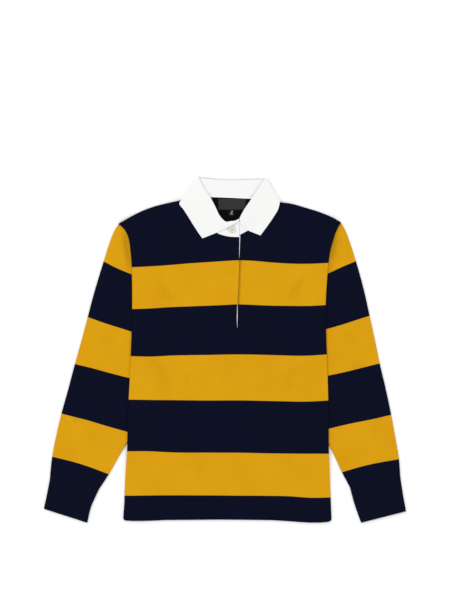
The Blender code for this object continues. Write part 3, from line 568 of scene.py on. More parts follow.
def clothWall(name, node, outer, inner, uv, material, closed=False, openCells=(), stripe=None,
              shade=None):
    # a cloth wall between two grids of points, closed all round its edges
    rows, columns = outer.shape[:2]
    index = np.arange(rows * columns).reshape(rows, columns)
    shift = rows * columns
    faces, corners, edges = [], [], {}
    for j in range(rows - 1):
        for i in range(columns if closed else columns - 1):
            if (j, i) in openCells:
                continue
            after = (i + 1) % columns
            loop = [(j, i), (j, after), (j + 1, after), (j + 1, i)]
            marks = [(j, i), (j, i + 1), (j + 1, i + 1), (j + 1, i)]
            faces.append([index[at] for at in loop])
            corners.append(marks)
            faces.append([index[at] + shift for at in reversed(loop)])
            corners.append(marks[::-1])
            for k in range(4):
                start, end = loop[k], loop[(k + 1) % 4]
                if (end, start) in edges:
                    del edges[(end, start)]
                else:
                    edges[(start, end)] = (marks[k], marks[(k + 1) % 4])
    for (start, end), (markStart, markEnd) in edges.items():
        faces.append([index[end], index[start], index[start] + shift, index[end] + shift])
        corners.append([markEnd, markStart, markStart, markEnd])
    points = np.vstack([outer.reshape(-1, 3), inner.reshape(-1, 3)]) * mm
    used = np.zeros(len(points), bool)
    for face in faces:
        used[face] = True
    renumber = np.cumsum(used) - 1
    mesh = bpy.data.meshes.new(name)
    mesh.from_pydata(points[used].tolist(), [], [[int(renumber[v]) for v in face] for face in faces])
    layer = mesh.uv_layers.new(name="cloth")
    flat = np.array([uv[at] for face in corners for at in face], np.float32) * mm
    layer.data.foreach_set("uv", flat.ravel())
    if stripe is not None:
        for title, pair in (("stripe", (stripe, stripe)), ("shade", shade)):
            values = np.concatenate([pair[0].ravel(), pair[1].ravel()])[used].astype(np.float32)
            mesh.attributes.new(title, "FLOAT", "POINT").data.foreach_set("value", values)
    piece = bpy.data.objects.new(name, mesh)
    bpy.context.scene.collection.objects.link(piece)
    return finished(piece, material, node)


def finished(piece, material, node=None):
    # every piece rides on the one body, and most replace a solid of the part
    piece.data.materials.append(material)
    bpy.ops.object.select_all(action="DESELECT")
    piece.select_set(True)
    bpy.context.view_layer.objects.active = piece
    bpy.ops.object.mode_set(mode="EDIT")
    bpy.ops.mesh.select_all(action="SELECT")
    bpy.ops.mesh.normals_make_consistent(inside=False)
    bpy.ops.object.mode_set(mode="OBJECT")
    bpy.ops.object.shade_smooth_by_angle(angle=math.radians(50))
    piece.select_set(False)
    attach(piece, "root")
    if node:
        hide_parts(node)
    return piece


def grid(x, y, z):
    return np.stack([x, y, z], axis=-1)


def rounding(distance):
    # share of its full height that a flattened tube has at this distance from its edge
    near = np.clip(distance / edgeRadius, 0.0, 1.0)
    return np.sqrt(1.0 - (1.0 - near) ** 2)


def inset(distance):
    return np.minimum(1.0, jerseyWall * (1.0 - rounding(distance)))


# where each colour begins, from the bottom up: points along every stripe's edge
stripeEdges = {
    "body": (
        ((-200, -293.0), (-110, -292.2), (-30, -292.4), (32, -292.8), (90, -293.2), (130, -294.0),
         (152, -295.6), (170, -296.8), (208, -296.4)),
        ((-190, -204.2), (-150, -204.6), (-110, -206.6), (-30, -207.2), (32, -207.4), (90, -208.6),
         (170, -209.4), (205, -209.0)),
        ((-188, -100.6), (-110, -101.6), (-30, -102.4), (32, -102.2), (90, -103.4), (170, -104.2),
         (202, -102.4)),
        ((-188, -14.2), (-150, -15.0), (-110, -13.2), (-30, -11.8), (22, -10.8), (50, -11.0), (90, -12.0),
         (170, -13.0), (202, -10.8)),
        ((-188, 80.0), (-150, 81.6), (-110, 84.2), (-70, 85.6), (-30, 87.2), (0, 88.6), (24, 89.8),
         (50, 89.0), (90, 87.2), (130, 86.6), (170, 86.6), (204, 88.6)),
        ((-188, 163.4), (-150, 165.2), (-110, 168.0), (-70, 171.4), (-30, 174.0), (0, 176.0), (26, 177.4),
         (50, 176.8), (90, 173.4), (130, 170.8), (170, 170.4), (204, 171.9)),
    ),
    "sleeveLeft": (
        ((-345.1, -215.2), (-329.9, -218.6), (-299.9, -226.2), (-269.9, -235.8), (-239.9, -247.2)),
        ((-325.9, -129.6), (-299.9, -136.2), (-269.9, -144.0), (-239.9, -153.2), (-209.9, -161.6)),
        ((-299.9, -29.8), (-269.9, -36.8), (-239.9, -45.0), (-209.9, -53.0), (-189.9, -58.0)),
        ((-272.5, 63.0), (-239.9, 51.2), (-209.9, 41.8), (-186.7, 34.4)),
        ((-241.9, 175.2), (-209.9, 159.4), (-186.5, 149.6)),
    ),
    "sleeveRight": (
        ((234.1, -246.2), (260.1, -238.2), (290.1, -230.4), (320.1, -224.6), (348.3, -220.0)),
        ((209.7, -159.0), (230.1, -154.0), (260.1, -147.4), (290.1, -141.4), (332.3, -131.6)),
        ((206.7, -52.6), (230.1, -47.8), (260.1, -40.8), (290.1, -33.0), (309.5, -28.4)),
        ((203.5, 39.8), (230.1, 47.2), (260.1, 57.0), (289.9, 66.6)),
        ((206.7, 151.8), (230.1, 162.8), (260.9, 175.6)),
    ),
}
stripeDepth = 92.0


def stripeAt(x, y, name):
    # whole numbers at the colour changes, counted from the lowest; gold is from an even one up
    lines = []
    for edge in stripeEdges[name]:
        edge = np.array(edge, float)
        first = (edge[1, 1] - edge[0, 1]) / (edge[1, 0] - edge[0, 0])
        last = (edge[-1, 1] - edge[-2, 1]) / (edge[-1, 0] - edge[-2, 0])
        height = np.interp(x, *smoothLine(edge, 8.0).T)
        height = height + first * np.minimum(x - edge[0, 0], 0.0) + last * np.maximum(x - edge[-1, 0], 0.0)
        lines.append(height)
    count = len(lines)
    value = np.maximum((y - lines[0]) / stripeDepth, -0.9)
    for k in range(count - 1):
        above = y >= lines[k]
        value = np.where(above, k + (y - lines[k]) / (lines[k + 1] - lines[k]), value)
    top = count - 1 + np.minimum((y - lines[-1]) / stripeDepth, 0.9)
    return np.where(y >= lines[-1], top, value)


# the body's columns of points stand this far in from its sides
bodySteps = (0.0, 0.2, 0.6, 1.2, 1.9, edgeRadius, 5.0, 9.0)
hem = {
    "depth": 36.0,
    "step": 0.7,  # how much thicker it is than the cloth above it
    "stepFrom": 1.6,
    "stepRun": 2.4,
    "edge": 1.3,  # the bend of the cloth along the edge
    "edgeDrop": 0.55,
    "rows": (0.0, 0.25, 0.7, 1.3, 4.0, 9.0, 15.0, 21.0, 27.0, 31.0, 34.4, 35.4, 36.6, 38.0),
    "sewnUp": (33.4, 29.2),
    "sewnIn": 5.0,
}
slitEdge = {"bend": 1.2, "drop": 0.45}
neckShade = {"depth": 0.92, "y": 236.0, "run": 12.0, "x": 12.0, "half": 76.0, "sideRun": 16.0}


def hemRise(fromHem):
    return hem["step"] * (1.0 - ease((fromHem - hem["depth"] + hem["stepFrom"]) / hem["stepRun"]))


def edgeBend(distance, reach):
    # 1 at a free edge, falling to 0 at its reach
    return np.clip(1.0 - distance / reach, 0.0, 1.0)


def panelColumns(neck):
    # each column's x at the top, its distance from a side, and the way in from that side
    left, right = leftSide[-1][1], rightSide[-1][1]
    keys = [left + 9.0, *[x for x, _ in neck], right - 9.0]
    inner = []
    for low, high in zip(keys[:-1], keys[1:]):
        count = max(1, math.ceil((high - low) / 5.0))
        inner += list(np.linspace(low, high, count, endpoint=False))
    inner = inner[1:]
    top = [left + s for s in bodySteps] + inner + [right - s for s in reversed(bodySteps)]
    side = [*bodySteps] + [1e3] * len(inner) + [*reversed(bodySteps)]
    way = [1.0] * len(bodySteps) + [0.0] * len(inner) + [-1.0] * len(bodySteps)
    return np.array(top), np.array(side), np.array(way)


def panelRows():
    rows = [("hem", v) for v in hem["rows"]]
    rows += [("level", y) for y in np.arange(-292.0, placket["endY"] - 3.0, 6.0)]
    rows += [("level", y) for y in np.arange(placket["endY"], yokeY, 6.0)]
    rows += [("yoke", t) for t in np.linspace(0.0, 0.955, 26)]
    rows += [("top", s) for s in reversed(bodySteps[:6])]
    return rows


def panelPlan(neck):
    top, side, way = panelColumns(neck)
    rows = panelRows()
    leftTip, rightTip = leftSide[-1], rightSide[-1]
    share = (top - leftTip[1]) / (rightTip[1] - leftTip[1])
    topY = np.where(top < neck[0][0], np.interp(top, *leftShoulder.T), readAt(neck, top))
    topY = np.where(top > neck[-1][0], np.interp(top, *rightShoulder.T), topY)
    overShoulder = (top <= neck[0][0]) | (top >= neck[-1][0])
    xs, ys, fromTop = [], [], []
    for kind, value in rows:
        t = value if kind == "yoke" else 1.0
        if kind == "hem":
            leftY, rightY = hemLine[0][1] + value, hemLine[-1][1] + value
        elif kind == "level":
            leftY = rightY = value
        else:
            leftY = yokeY + (leftTip[0] - yokeY) * t
            rightY = yokeY + (rightTip[0] - yokeY) * t
        left, right = np.interp(leftY, *leftSide.T), np.interp(rightY, *rightSide.T)
        x = left + (right - left) * share
        x = np.where(way > 0, left + side, np.where(way < 0, right - side, x))
        if kind == "hem":
            y = readAt(hemLine, x) + value
        elif kind == "level":
            y = np.full(len(x), value)
        else:
            y = yokeY + (topY - yokeY) * t - (value if kind == "top" else 0.0)
        xs.append(x)
        ys.append(y)
        fromTop.append(np.where(overShoulder & (kind == "top"), value if kind == "top" else 1e3, 1e3))
    return np.array(xs), np.array(ys), side, way, np.array(fromTop), rows, top


def bodyPanel(name, neck, isFront):
    x, y, side, way, fromTop, rows, top = panelPlan(neck)
    sign = 1.0 if isFront else -1.0
    openCells = set()
    farColumn = int(np.argmin(np.abs(top - placket["farColumnX"])))
    nearColumn = int(np.argmin(np.abs(top - placket["columnX"])))
    if isFront:
        shift = slitX(y[:, nearColumn]) - x[:, nearColumn]
        x = x + shift[:, None] * (1.0 - ease(np.abs(top - placket["columnX"]) / 60.0))
        farY = y[:, farColumn]
        x[:, farColumn] = slitX(farY) + readAt(placket["shows"], farY) + placket["facingGap"]
    side = np.broadcast_to(side, x.shape)
    rise = np.minimum(rounding(side), rounding(fromTop))
    lift = bodyLift(x, y)
    rim = stack / 2 + sign * seamGap / 2
    fullOut = np.full(x.shape, stack / 2 + sign * stack / 2)
    fullIn = np.full(x.shape, stack / 2 + sign * hollow / 2)
    if isFront:
        lap, relief = placketLift(x, y), bodyRelief(x, y)
        lap[:, farColumn:] = 0.0
        fullOut += lap + relief
        fullIn += lap + np.maximum(relief, -hollow + 0.2)
        fromHem = np.array([v if kind == "hem" else 1e3 for kind, v in rows])[:, None]
        step = hemRise(fromHem)
        fullOut += step - (step + hem["edgeDrop"]) * edgeBend(fromHem, hem["edge"]) ** 2
        nearSlit = (np.arange(len(top)) <= nearColumn) & (y > placket["endY"])
        fullOut -= np.where(nearSlit, slitEdge["drop"] * edgeBend(slitX(y) - x, slitEdge["bend"]), 0.0)
        for j in range(len(rows) - 1):
            if y[j, nearColumn] >= placket["endY"] - 0.01:
                openCells.add((j, nearColumn))
    outer = grid(x, y, lift + rim + (fullOut - rim) * rise)
    inner = grid(x + way * inset(side), y - inset(fromTop), lift + rim + (fullIn - rim) * rise)
    uv = np.stack([x, y], axis=-1)
    if isFront:
        fromSlit = (x - slitX(y) - placket["shadeFrom"]) / placket["shadeRun"]
        besideSlit = (placket["shade"] * (1.0 - ease(fromSlit)) * (np.arange(len(top)) >= farColumn)
                      * ease((y - placket["endY"]) / placket["shadeFootRun"]))
        shade = hollowShade(x, y, bodyFolds["troughs"], 0.1) + besideSlit
        shade = (shade, shade)
    else:  # the back's inner face lies in the collar's shade
        upwards = 1.0 - ease((neckShade["y"] - y) / neckShade["run"])
        offMiddle = np.abs(x - neckShade["x"]) - neckShade["half"]
        shade = (0.0 * x, neckShade["depth"] * upwards * (1.0 - ease(offMiddle / neckShade["sideRun"])))
    return clothWall(name, "front" if isFront else "back", outer, inner, uv, jersey,
                     openCells=openCells, stripe=stripeAt(x, y, "body"), shade=shade)


def frontFace(x, y):
    # height of the front's face, away from its side edges
    return bodyLift(x, y) + bodyRelief(x, y) + placketLift(x, y) + stack + hemRise(y - readAt(hemLine, x))


jerseyBack = bodyPanel("jerseyBack", body["backNeck"], False)
jerseyFront = bodyPanel("jerseyFront", body["frontNeck"], True)
print("body panels made")


def tubePiece(name, node, rows, stopsAt, middle, facesAt, material, striped=None, folds=()):
    # a flattened tube: facesAt says how far its two faces stand off its middle
    along = distanceAlong(rows[:, :2])
    outer, inner, uv = [], [], []
    for row, v in zip(rows, along):
        low, high = row[:2], row[2:]
        width = np.linalg.norm(high - low)
        way = (high - low) / width
        stops = stopsAt(width)
        fromEdge = np.minimum(stops, width - stops)
        for ring, depth in ((outer, 0.0), (inner, middle - hollow / 2)):
            plan = low + way * np.clip(stops, depth, width - depth)[:, None]
            up, down = facesAt(plan, fromEdge, v, along[-1] - v, depth == 0.0)
            upper = grid(plan[:, 0], plan[:, 1], middle + up)
            lower = grid(plan[:, 0], plan[:, 1], middle - down)[1:-1]
            ring.append(np.vstack([upper, lower[::-1]]))
        around = np.concatenate([stops, 2 * width - stops[1:-1][::-1], [2 * width]])
        uv.append(np.stack([around, np.full(len(around), -v)], axis=-1))
    outer = np.array(outer)
    stripe = stripeAt(outer[..., 0], outer[..., 1], striped) if striped else None
    shade = hollowShade(outer[..., 0], outer[..., 1], folds, 0.2)
    return clothWall(name, node, outer, np.array(inner), np.array(uv), material, closed=True,
                     stripe=stripe, shade=(shade, shade))


tubeSteps = np.array((0.0, 0.15, 0.5, 1.1, 1.8))
sleeveMesh = {"spacing": 6.0, "firstInner": 5.0, "between": 30, "sewnBack": 0.05}
sleeveCalm = {
    # where the folds run out: under the body, and towards the sleeve's edges and ends
    "bodyFrom": 1.0,
    "bodyRun": 12.0,
    "edgeRun": 14.0,
    "topRun": 30.0,
    "cuffRun": 12.0,
    "swell": 0.25,
    "lowest": -0.35,  # of the inner face, which may not meet the one below it
}


def mirrored(steps, between, width):
    return np.concatenate([steps, between, width - steps[::-1]])


def sleevePiece(name, node, side):
    rows = smoothLine(sleeves[side], sleeveMesh["spacing"])
    back = rows[-1] - rows[-2]
    rows[-1] = rows[-1] - back / np.linalg.norm(back[:2]) * sleeveMesh["sewnBack"]  # close to the cuff
    bodyEdge = leftSide if side == "left" else rightSide
    inner = sleeveMesh["firstInner"]
    steps = np.array((*tubeSteps, edgeRadius, inner))

    def stopsAt(width):
        return mirrored(steps, np.linspace(inner, width - inner, sleeveMesh["between"])[1:-1], width)

    def facesAt(plan, fromEdge, v, fromEnd, isOuter):
        pastBody = np.abs(plan[:, 0]) - np.abs(np.interp(plan[:, 1], *bodyEdge.T)) - sleeveCalm["bodyFrom"]
        clear = ease(pastBody / sleeveCalm["bodyRun"]) * ease(fromEdge / sleeveCalm["edgeRun"])
        clear = clear * ease(v / sleeveCalm["topRun"]) * ease(fromEnd / sleeveCalm["cuffRun"])
        relief = foldHeight(plan[:, 0], plan[:, 1], sleeveFolds[side]) + sleeveCalm["swell"]
        relief = clear * (relief if isOuter else np.maximum(relief, sleeveCalm["lowest"]))
        half = (stack if isOuter else hollow) / 2 * rounding(fromEdge)
        return half + relief, half

    return tubePiece(name, node, rows, stopsAt, stack / 2, facesAt, jersey,
                     "sleeve" + side.title(), sleeveFolds[side])


cuffRib = {"pitch": 3.6, "height": 0.5, "across": 6}  # a rib and the groove beside it, and its steps
cuffEnd = {"reach": 1.5, "thinner": 0.3}


def cuffPiece(name, node, side):
    rows = smoothLine(cuffs[side], 3.0)
    flank = np.zeros(len(tubeSteps))
    ribs = round((np.linalg.norm(rows[0, 2:] - rows[0, :2]) - 2 * edgeRadius) / cuffRib["pitch"])
    share = np.linspace(0.0, 1.0, ribs * cuffRib["across"] + 1)
    wave = 0.5 - 0.5 * np.cos(2 * math.pi * ribs * share)
    ribHeight = np.concatenate([flank, wave**0.8, flank]) * cuffRib["height"]
    middle = ribWall + hollow / 2

    def stopsAt(width):
        return mirrored(tubeSteps, edgeRadius + share * (width - 2 * edgeRadius), width)

    def facesAt(plan, fromEdge, v, fromEnd, isOuter):
        if not isOuter:
            return (hollow / 2 * rounding(fromEdge),) * 2
        thin = 1.0 - cuffEnd["thinner"] * edgeBend(fromEnd, cuffEnd["reach"]) ** 2
        half = middle * thin * rounding(fromEdge)
        return half + ribHeight * thin, half

    return tubePiece(name, node, rows, stopsAt, middle, facesAt, rib)


sleeveLeft = sleevePiece("jerseySleeveLeft", "sleeve_left", "left")
sleeveRight = sleevePiece("jerseySleeveRight", "sleeve_right", "right")
cuffLeft = cuffPiece("ribCuffLeft", "cuff_left", "left")
cuffRight = cuffPiece("ribCuffRight", "cuff_right", "right")
print("sleeves and cuffs made")


# the collar is a ribbon that turns over along the roll and wraps round both sides
collar = {
    "spacing": 4.0,  # between its stations
    "wrapSteps": 14,
    "endSteps": (0.35, 0.9, 1.6),  # stations close to a free end, so that it can be rounded
    # distance in from the roll, depth under the fall's face
    "outerCurl": ((0.9, 3.2), (0.5, 2.85), (0.15, 2.3), (0.0, 1.75), (0.0, 1.2), (0.18, 0.7), (0.5, 0.35),
                  (1.0, 0.1), (1.6, 0.0)),
    "innerCurl": ((1.6, 3.2), (1.54, 2.9), (1.5, 2.6), (1.52, 2.3), (1.6, 2.0), (1.75, 1.82), (1.9, 1.7),
                  (2.2, 1.58), (2.6, 1.5)),
    # how far across the fall and the stand their points lie
    "fallShares": np.array((0.07, 0.11, 0.16, 0.22, 0.29, 0.36, 0.43, 0.5, 0.57, 0.64, 0.71, 0.78, 0.84,
                            0.89, 0.93, 0.96, 0.975, 0.986, 0.994, 1.0)),
    "standShares": np.array((0.0, 0.012, 0.03, 0.06, 0.12, 0.2, 0.28, 0.36, 0.44, 0.52, 0.6, 0.68, 0.76,
                             0.84, 0.9, 0.95, 0.98, 1.0)),
    "standDepth": 2.2,  # of the stand's face under the fall's
    "standInset": 2.4,  # of the stand's top edge inside the roll
    "standWrap": 0.9,  # how far the stand goes down the fall's wrap
    "fallEdgeDrop": 0.5,
    "standEdgeDrop": 0.45,
    "edgeBend": 1.2,
}


def wrapOutward(row):
    along = np.array(row[2:]) - np.array(row[:2])
    along = along / np.linalg.norm(along)
    return np.array([along[1], -along[0]]) if row[0] < 0 else np.array([-along[1], along[0]])


def sampled(row, shares):
    if len(row) == 4:
        start, end = np.array(row[:2]), np.array(row[2:])
        return start + (end - start) * shares[:, None]
    row = np.array(row)
    return np.stack([np.interp(shares, fall["marks"], row[:, k]) for k in (0, 1)], axis=-1)


def collarStations(shares, left, leftWrap, back, rightWrap, right):
    # each station's points across, its turn, the way out of its wrap, and its distance from a free end
    flat = np.zeros(2)

    def run(rows, turn):
        line = smoothLine([sampled(row, shares).ravel() for row in rows], collar["spacing"])
        return [(row.reshape(-1, 2), turn, flat) for row in line]

    def wrap(row, name):
        steps = collar["wrapSteps"]
        out = wrapOutward(fall[name])
        return [(sampled(row, shares), math.pi * k / steps, out) for k in range(steps + 1)]

    stations = [
        *run([*left, leftWrap], 0.0)[:-1], *wrap(leftWrap, "leftWrap"),
        *run([leftWrap, *back, rightWrap], math.pi)[1:-1],
        *wrap(rightWrap, "rightWrap")[::-1], *run([rightWrap, *right], 0.0)[1:],
    ]
    ends = []
    for first, second in (stations[:2], stations[:-3:-1]):
        gap = np.linalg.norm(second[0] - first[0], axis=1).mean()
        near = [(first[0] + (second[0] - first[0]) * min(step / gap, 0.9), *first[1:], step)
                for step in collar["endSteps"]]
        ends.append([(*first, 0.0), *near])
    return [*ends[0], *((*station, 1e3) for station in stations[1:-1]), *ends[1][::-1]]


def ribbonPoints(plan, turn, outward, depth, faceAt):
    half = faceAt(plan[:, 0], plan[:, 1]) / 2
    reach = half - depth
    moved = plan + outward * (reach * math.sin(turn))[:, None]
    return grid(moved[:, 0], moved[:, 1], half + reach * math.cos(turn))


def fallFace(x, y):
    return fallTop(x, y) + buttonRise(x, y)


def edgeDrop(distance, depth):
    # the fold of the cloth at a free edge: its faces draw together over the last bit
    return depth * edgeBend(distance, collar["edgeBend"]) ** 2


def clothUv(outer):
    along = distanceAlong(outer[:, -1])
    across = np.linalg.norm(np.diff(outer, axis=1), axis=2)
    across = np.concatenate([np.zeros((len(outer), 1)), np.cumsum(across, axis=1)], axis=1)
    return np.stack([np.broadcast_to(along[:, None], across.shape), across], axis=-1)


def ribbonPiece(name, node, outer, inner):
    outer = np.array(outer)
    return clothWall(name, node, outer, np.array(inner), clothUv(outer), twill)


def collarFallPiece():
    shares = collar["fallShares"]
    stations = collarStations(
        np.array((0.0, shares[0], *shares)), (*fall["lap"], *fall["left"]), fall["leftWrap"],
        fall["back"], fall["rightWrap"], (*fall["right"], fall["rightEnd"]))
    outer, inner = [], []
    for plan, turn, outward, fromEnd in stations:
        way = (plan[1] - plan[0]) / np.linalg.norm(plan[1] - plan[0])
        fromEdge = (1.0 - shares) * np.linalg.norm(plan[-1] - plan[0])
        drop = edgeDrop(np.minimum(fromEdge, fromEnd), collar["fallEdgeDrop"])
        for wall, curl, depth in ((outer, "outerCurl", drop), (inner, "innerCurl", fallWall - drop * 0.6)):
            rolled = [ribbonPoints(plan[:1] + way * d, turn, outward, n, fallTop)[0] for d, n in collar[curl]]
            wall.append(np.vstack([rolled, ribbonPoints(plan[2:], turn, outward, depth, fallFace)]))
    return ribbonPiece("collarFall", "collar_fall", outer, inner)


def trimmed(row, top, foot):
    start, end = np.array(row[:2], float), np.array(row[2:], float)
    way = (end - start) / np.linalg.norm(end - start)
    return (*(start + way * top), *(end - way * foot))


def standWrap(row):
    start, end = np.array(row[:2]), np.array(row[2:])
    return trimmed((*start, *(start + (end - start) * collar["standWrap"])), collar["standInset"], 0.0)


def collarStandPiece():
    shares = collar["standShares"]
    left, back, right = (
        [trimmed(row, collar["standInset"], seamGap) for row in rows]
        for rows in ((*stand["lap"], *stand["left"]), stand["back"], stand["right"]))
    stations = collarStations(shares, left, standWrap(fall["leftWrap"]), back, standWrap(fall["rightWrap"]),
                              [*right, *stand["underlap"]])
    lastTurned = max(k for k, station in enumerate(stations) if station[1] > 0.0)
    outer, inner = [], []
    for number, (plan, turn, outward, fromEnd) in enumerate(stations):
        def faceAt(x, y):  # the right end lies under the placket's lap
            return fallTop(x, y, lapped=number < lastTurned + 2)

        fromEdge = shares * np.linalg.norm(plan[-1] - plan[0])
        drop = edgeDrop(np.minimum(fromEdge, fromEnd), collar["standEdgeDrop"])
        for wall, depth in ((outer, drop), (inner, standWall - drop * 0.5)):
            wall.append(ribbonPoints(plan, turn, outward, collar["standDepth"] + depth, faceAt))
    return ribbonPiece("collarStand", "collar_stand", outer, inner)


collarFall = collarFallPiece()
collarStand = collarStandPiece()
print("collar made")


def stripPiece(name, node, xs, ys, low, thickness, material, edge):
    # a flat strip that follows the height given for its underside, with softened edges
    drop = np.zeros(xs.shape)
    drop[0, :] = drop[-1, :] = drop[:, 0] = drop[:, -1] = edge
    return clothWall(name, node, grid(xs, ys, low + thickness - drop), grid(xs, ys, low),
                     np.stack([xs, ys], axis=-1), material)


facing = {
    "lowY": 42.0,
    "shares": np.array((0.0, 0.01, 0.1, 0.3, 0.5, 0.7, 0.9, 0.96, 0.985, 1.0)),
    # its top corner runs up behind the stand's lapped end
    "cornerX": 28.2,
    "cornerXRun": 1.2,
    "cornerY": 212.0,
    "cornerYRun": 11.0,
    "cornerUp": 4.2,
}


def facingPiece():
    ys = np.linspace(facing["lowY"], readAt(body["frontNeck"], placket["columnX"]) - seamGap, 40)
    low, high = slitX(ys) - placket["width"], slitX(ys) + readAt(placket["shows"], ys)
    xs = low[:, None] + (high - low)[:, None] * facing["shares"]
    ys = np.broadcast_to(ys[:, None], xs.shape)
    ys = ys + (facing["cornerUp"] * ease((xs - facing["cornerX"]) / facing["cornerXRun"])
               * ease((ys - facing["cornerY"]) / facing["cornerYRun"]))
    height = bodyLift(xs, ys) + bodyRelief(xs, ys) + stack - jerseyWall + placket["facingGap"]
    return stripPiece("placketTape", "placket_facing", xs, ys, height, placket["facingWall"], tape,
                      0.25)


def boxGrid(box, step, rim):
    return np.meshgrid(*(
        np.concatenate([[low, low + rim], np.arange(low + step, high - 1.0, step), [high - rim, high]])
        for low, high in ((box["lowX"], box["highX"]), (box["lowY"], box["highY"]))))


neckLabel = {"lowX": -13.3, "highX": 41.7, "lowY": 278.8, "highY": 300.6, "gap": 0.4, "wall": 0.7}
sizeTab = {"lowX": 7.1, "highX": 19.1, "lowY": 266.2, "highY": 278.4, "gap": 0.4, "wall": 0.6}


def labelPiece(name, node, box, material):
    xs, ys = boxGrid(box, 3.0, 0.4)
    bow = 0.25 * np.sin((xs - box["lowX"]) / 9.0) * np.cos(ys / 7.0) + 0.25
    low = bodyLift(xs, ys) + jerseyWall + box["gap"]
    return stripPiece(name, node, xs, ys, low + bow * 0.5, box["wall"], material, 0.2)


neckBand = {
    "lowX": -50.0,
    "highX": 72.0,
    "under": 0.4,  # how far it reaches below and above the seam
    "over": 2.6,
    "labelGap": 0.25,
    "height": 3.72,
    "wall": 0.45,
    "shares": np.array((0.0, 0.08, 0.5, 0.92, 1.0)),
}


def neckTapePiece():
    # tape over the back neck seam, between the label and the stand
    across = np.linspace(neckBand["lowX"], neckBand["highX"], 50)
    seam = readAt(body["backNeck"], across)
    low = seam - neckBand["under"]
    overLabel = (across > neckLabel["lowX"] - 1) & (across < neckLabel["highX"] + 1)
    low = np.where(overLabel, np.maximum(low, neckLabel["highY"] + neckBand["labelGap"]), low)
    ys = (low[:, None] + (seam + neckBand["over"] - low)[:, None] * neckBand["shares"]).T
    xs = np.broadcast_to(across, ys.shape)
    return stripPiece("neckTape", None, xs, ys, np.full(xs.shape, neckBand["height"]), neckBand["wall"],
                      tape, 0.15)


placketTape = facingPiece()
label = labelPiece("neckLabel", "label", neckLabel, labelSatin)
tab = labelPiece("sizeTab", "size_tab", sizeTab, tabWeave)
neckTape = neckTapePiece()
print("tapes and labels made")


stitching = {"pitch": 3.6, "length": 2.7, "width": 0.56, "thick": 0.5, "rise": 0.3}


def selectAt(mesh, x):
    # picks the ring of points at this x of the mesh in edit mode
    shown = bmesh.from_edit_mesh(mesh)
    for point in shown.verts:
        point.select_set(abs(point.co.x - x) < 0.01)
    shown.select_flush_mode()
    bmesh.update_edit_mesh(mesh)


def modelStitch():
    # a bar of thread along x, 1 long and 1 thick, that thins and dips into the cloth at both its ends
    bpy.ops.object.select_all(action="DESELECT")
    bpy.ops.mesh.primitive_cylinder_add(vertices=6, radius=0.5, depth=1.0, calc_uvs=False,
                                        rotation=(0.0, math.pi / 2, 0.0))
    bar = bpy.context.object
    bpy.ops.object.transform_apply(location=False, rotation=True, scale=False)
    bpy.ops.object.mode_set(mode="EDIT")
    for x in (-0.25, 0.0, 0.25):
        bpy.ops.mesh.select_all(action="SELECT")
        bpy.ops.mesh.bisect(plane_co=(x, 0.0, 0.0), plane_no=(1.0, 0.0, 0.0))
    for x, size, dip in ((-0.5, 0.45, -0.5), (-0.25, 0.9, -0.1), (0.25, 0.9, -0.1), (0.5, 0.45, -0.5)):
        selectAt(bar.data, x)
        bpy.ops.transform.resize(value=(1.0, size, size), center_override=(x, 0.0, 0.0))
        bpy.ops.transform.translate(value=(0.0, 0.0, dip))
    bpy.ops.object.mode_set(mode="OBJECT")
    return bar


stitch = modelStitch()


def sewnCopies(lines, heightAt, **changes):
    # copies of the stitch along lines in plan, on cloth whose height heightAt gives
    made = {**stitching, **changes}
    copies = []
    for line in lines:
        line = np.asarray(line, float)
        at = distanceAlong(line)
        count = int((at[-1] - made["length"]) // made["pitch"]) + 1
        first = (at[-1] - (count - 1) * made["pitch"]) / 2
        for k in range(count):
            span = first + k * made["pitch"] + made["length"] * np.array((-0.5, 0.5))
            x, y = np.interp(span, at, line[:, 0]), np.interp(span, at, line[:, 1])
            start, end = (Vector(point) for point in zip(x, y, heightAt(x, y)))
            way = (end - start).normalized()
            side = Vector((-way.y, way.x, 0.0)).normalized()
            up = way.cross(side)
            place = Matrix((way * made["length"], side * made["width"], up * made["thick"]))
            place = place.transposed().to_4x4()
            place.translation = (start + end) / 2 + up * (made["rise"] - made["thick"] / 2)
            copy = stitch.copy()
            copy.data = stitch.data.copy()
            copy.data.transform(Matrix.Scale(mm, 4) @ place)
            copies.append(copy)
    return copies


def stitchPiece(name, copies, material, striped=None):
    bpy.ops.object.select_all(action="DESELECT")
    for copy in copies:
        bpy.context.scene.collection.objects.link(copy)
        copy.select_set(True)
    bpy.context.view_layer.objects.active = copies[0]
    bpy.ops.object.join()
    piece = copies[0]
    piece.name = piece.data.name = name
    if striped:  # thread in the colours of the stripes that it lies on
        at = np.array([point.co for point in piece.data.vertices]) / mm
        piece.data.attributes.new("stripe", "FLOAT", "POINT").data.foreach_set(
            "value", stripeAt(at[:, 0], at[:, 1], striped).astype(np.float32))
        piece.data.uv_layers.new(name="cloth")
    return finished(piece, material)


def hemRow(up):
    across = np.linspace(hemLine[0][0] + hem["sewnIn"], hemLine[-1][0] - hem["sewnIn"], 80)
    return np.stack([across, readAt(hemLine, across) + up], axis=-1)


def sleeveFace(x, y):
    return np.full(np.shape(x), stack)


def cuffSeamRow(stations, back, inFrom):
    # across the sleeve, this far before its cuff
    last, before = np.array(stations[-1]), np.array(stations[-2])
    way = (before - last) / np.linalg.norm((before - last)[:2])
    row = last + way * back
    side = (row[2:] - row[:2]) / np.linalg.norm(row[2:] - row[:2])
    return np.array([row[:2] + side * inFrom, row[2:] - side * inFrom])


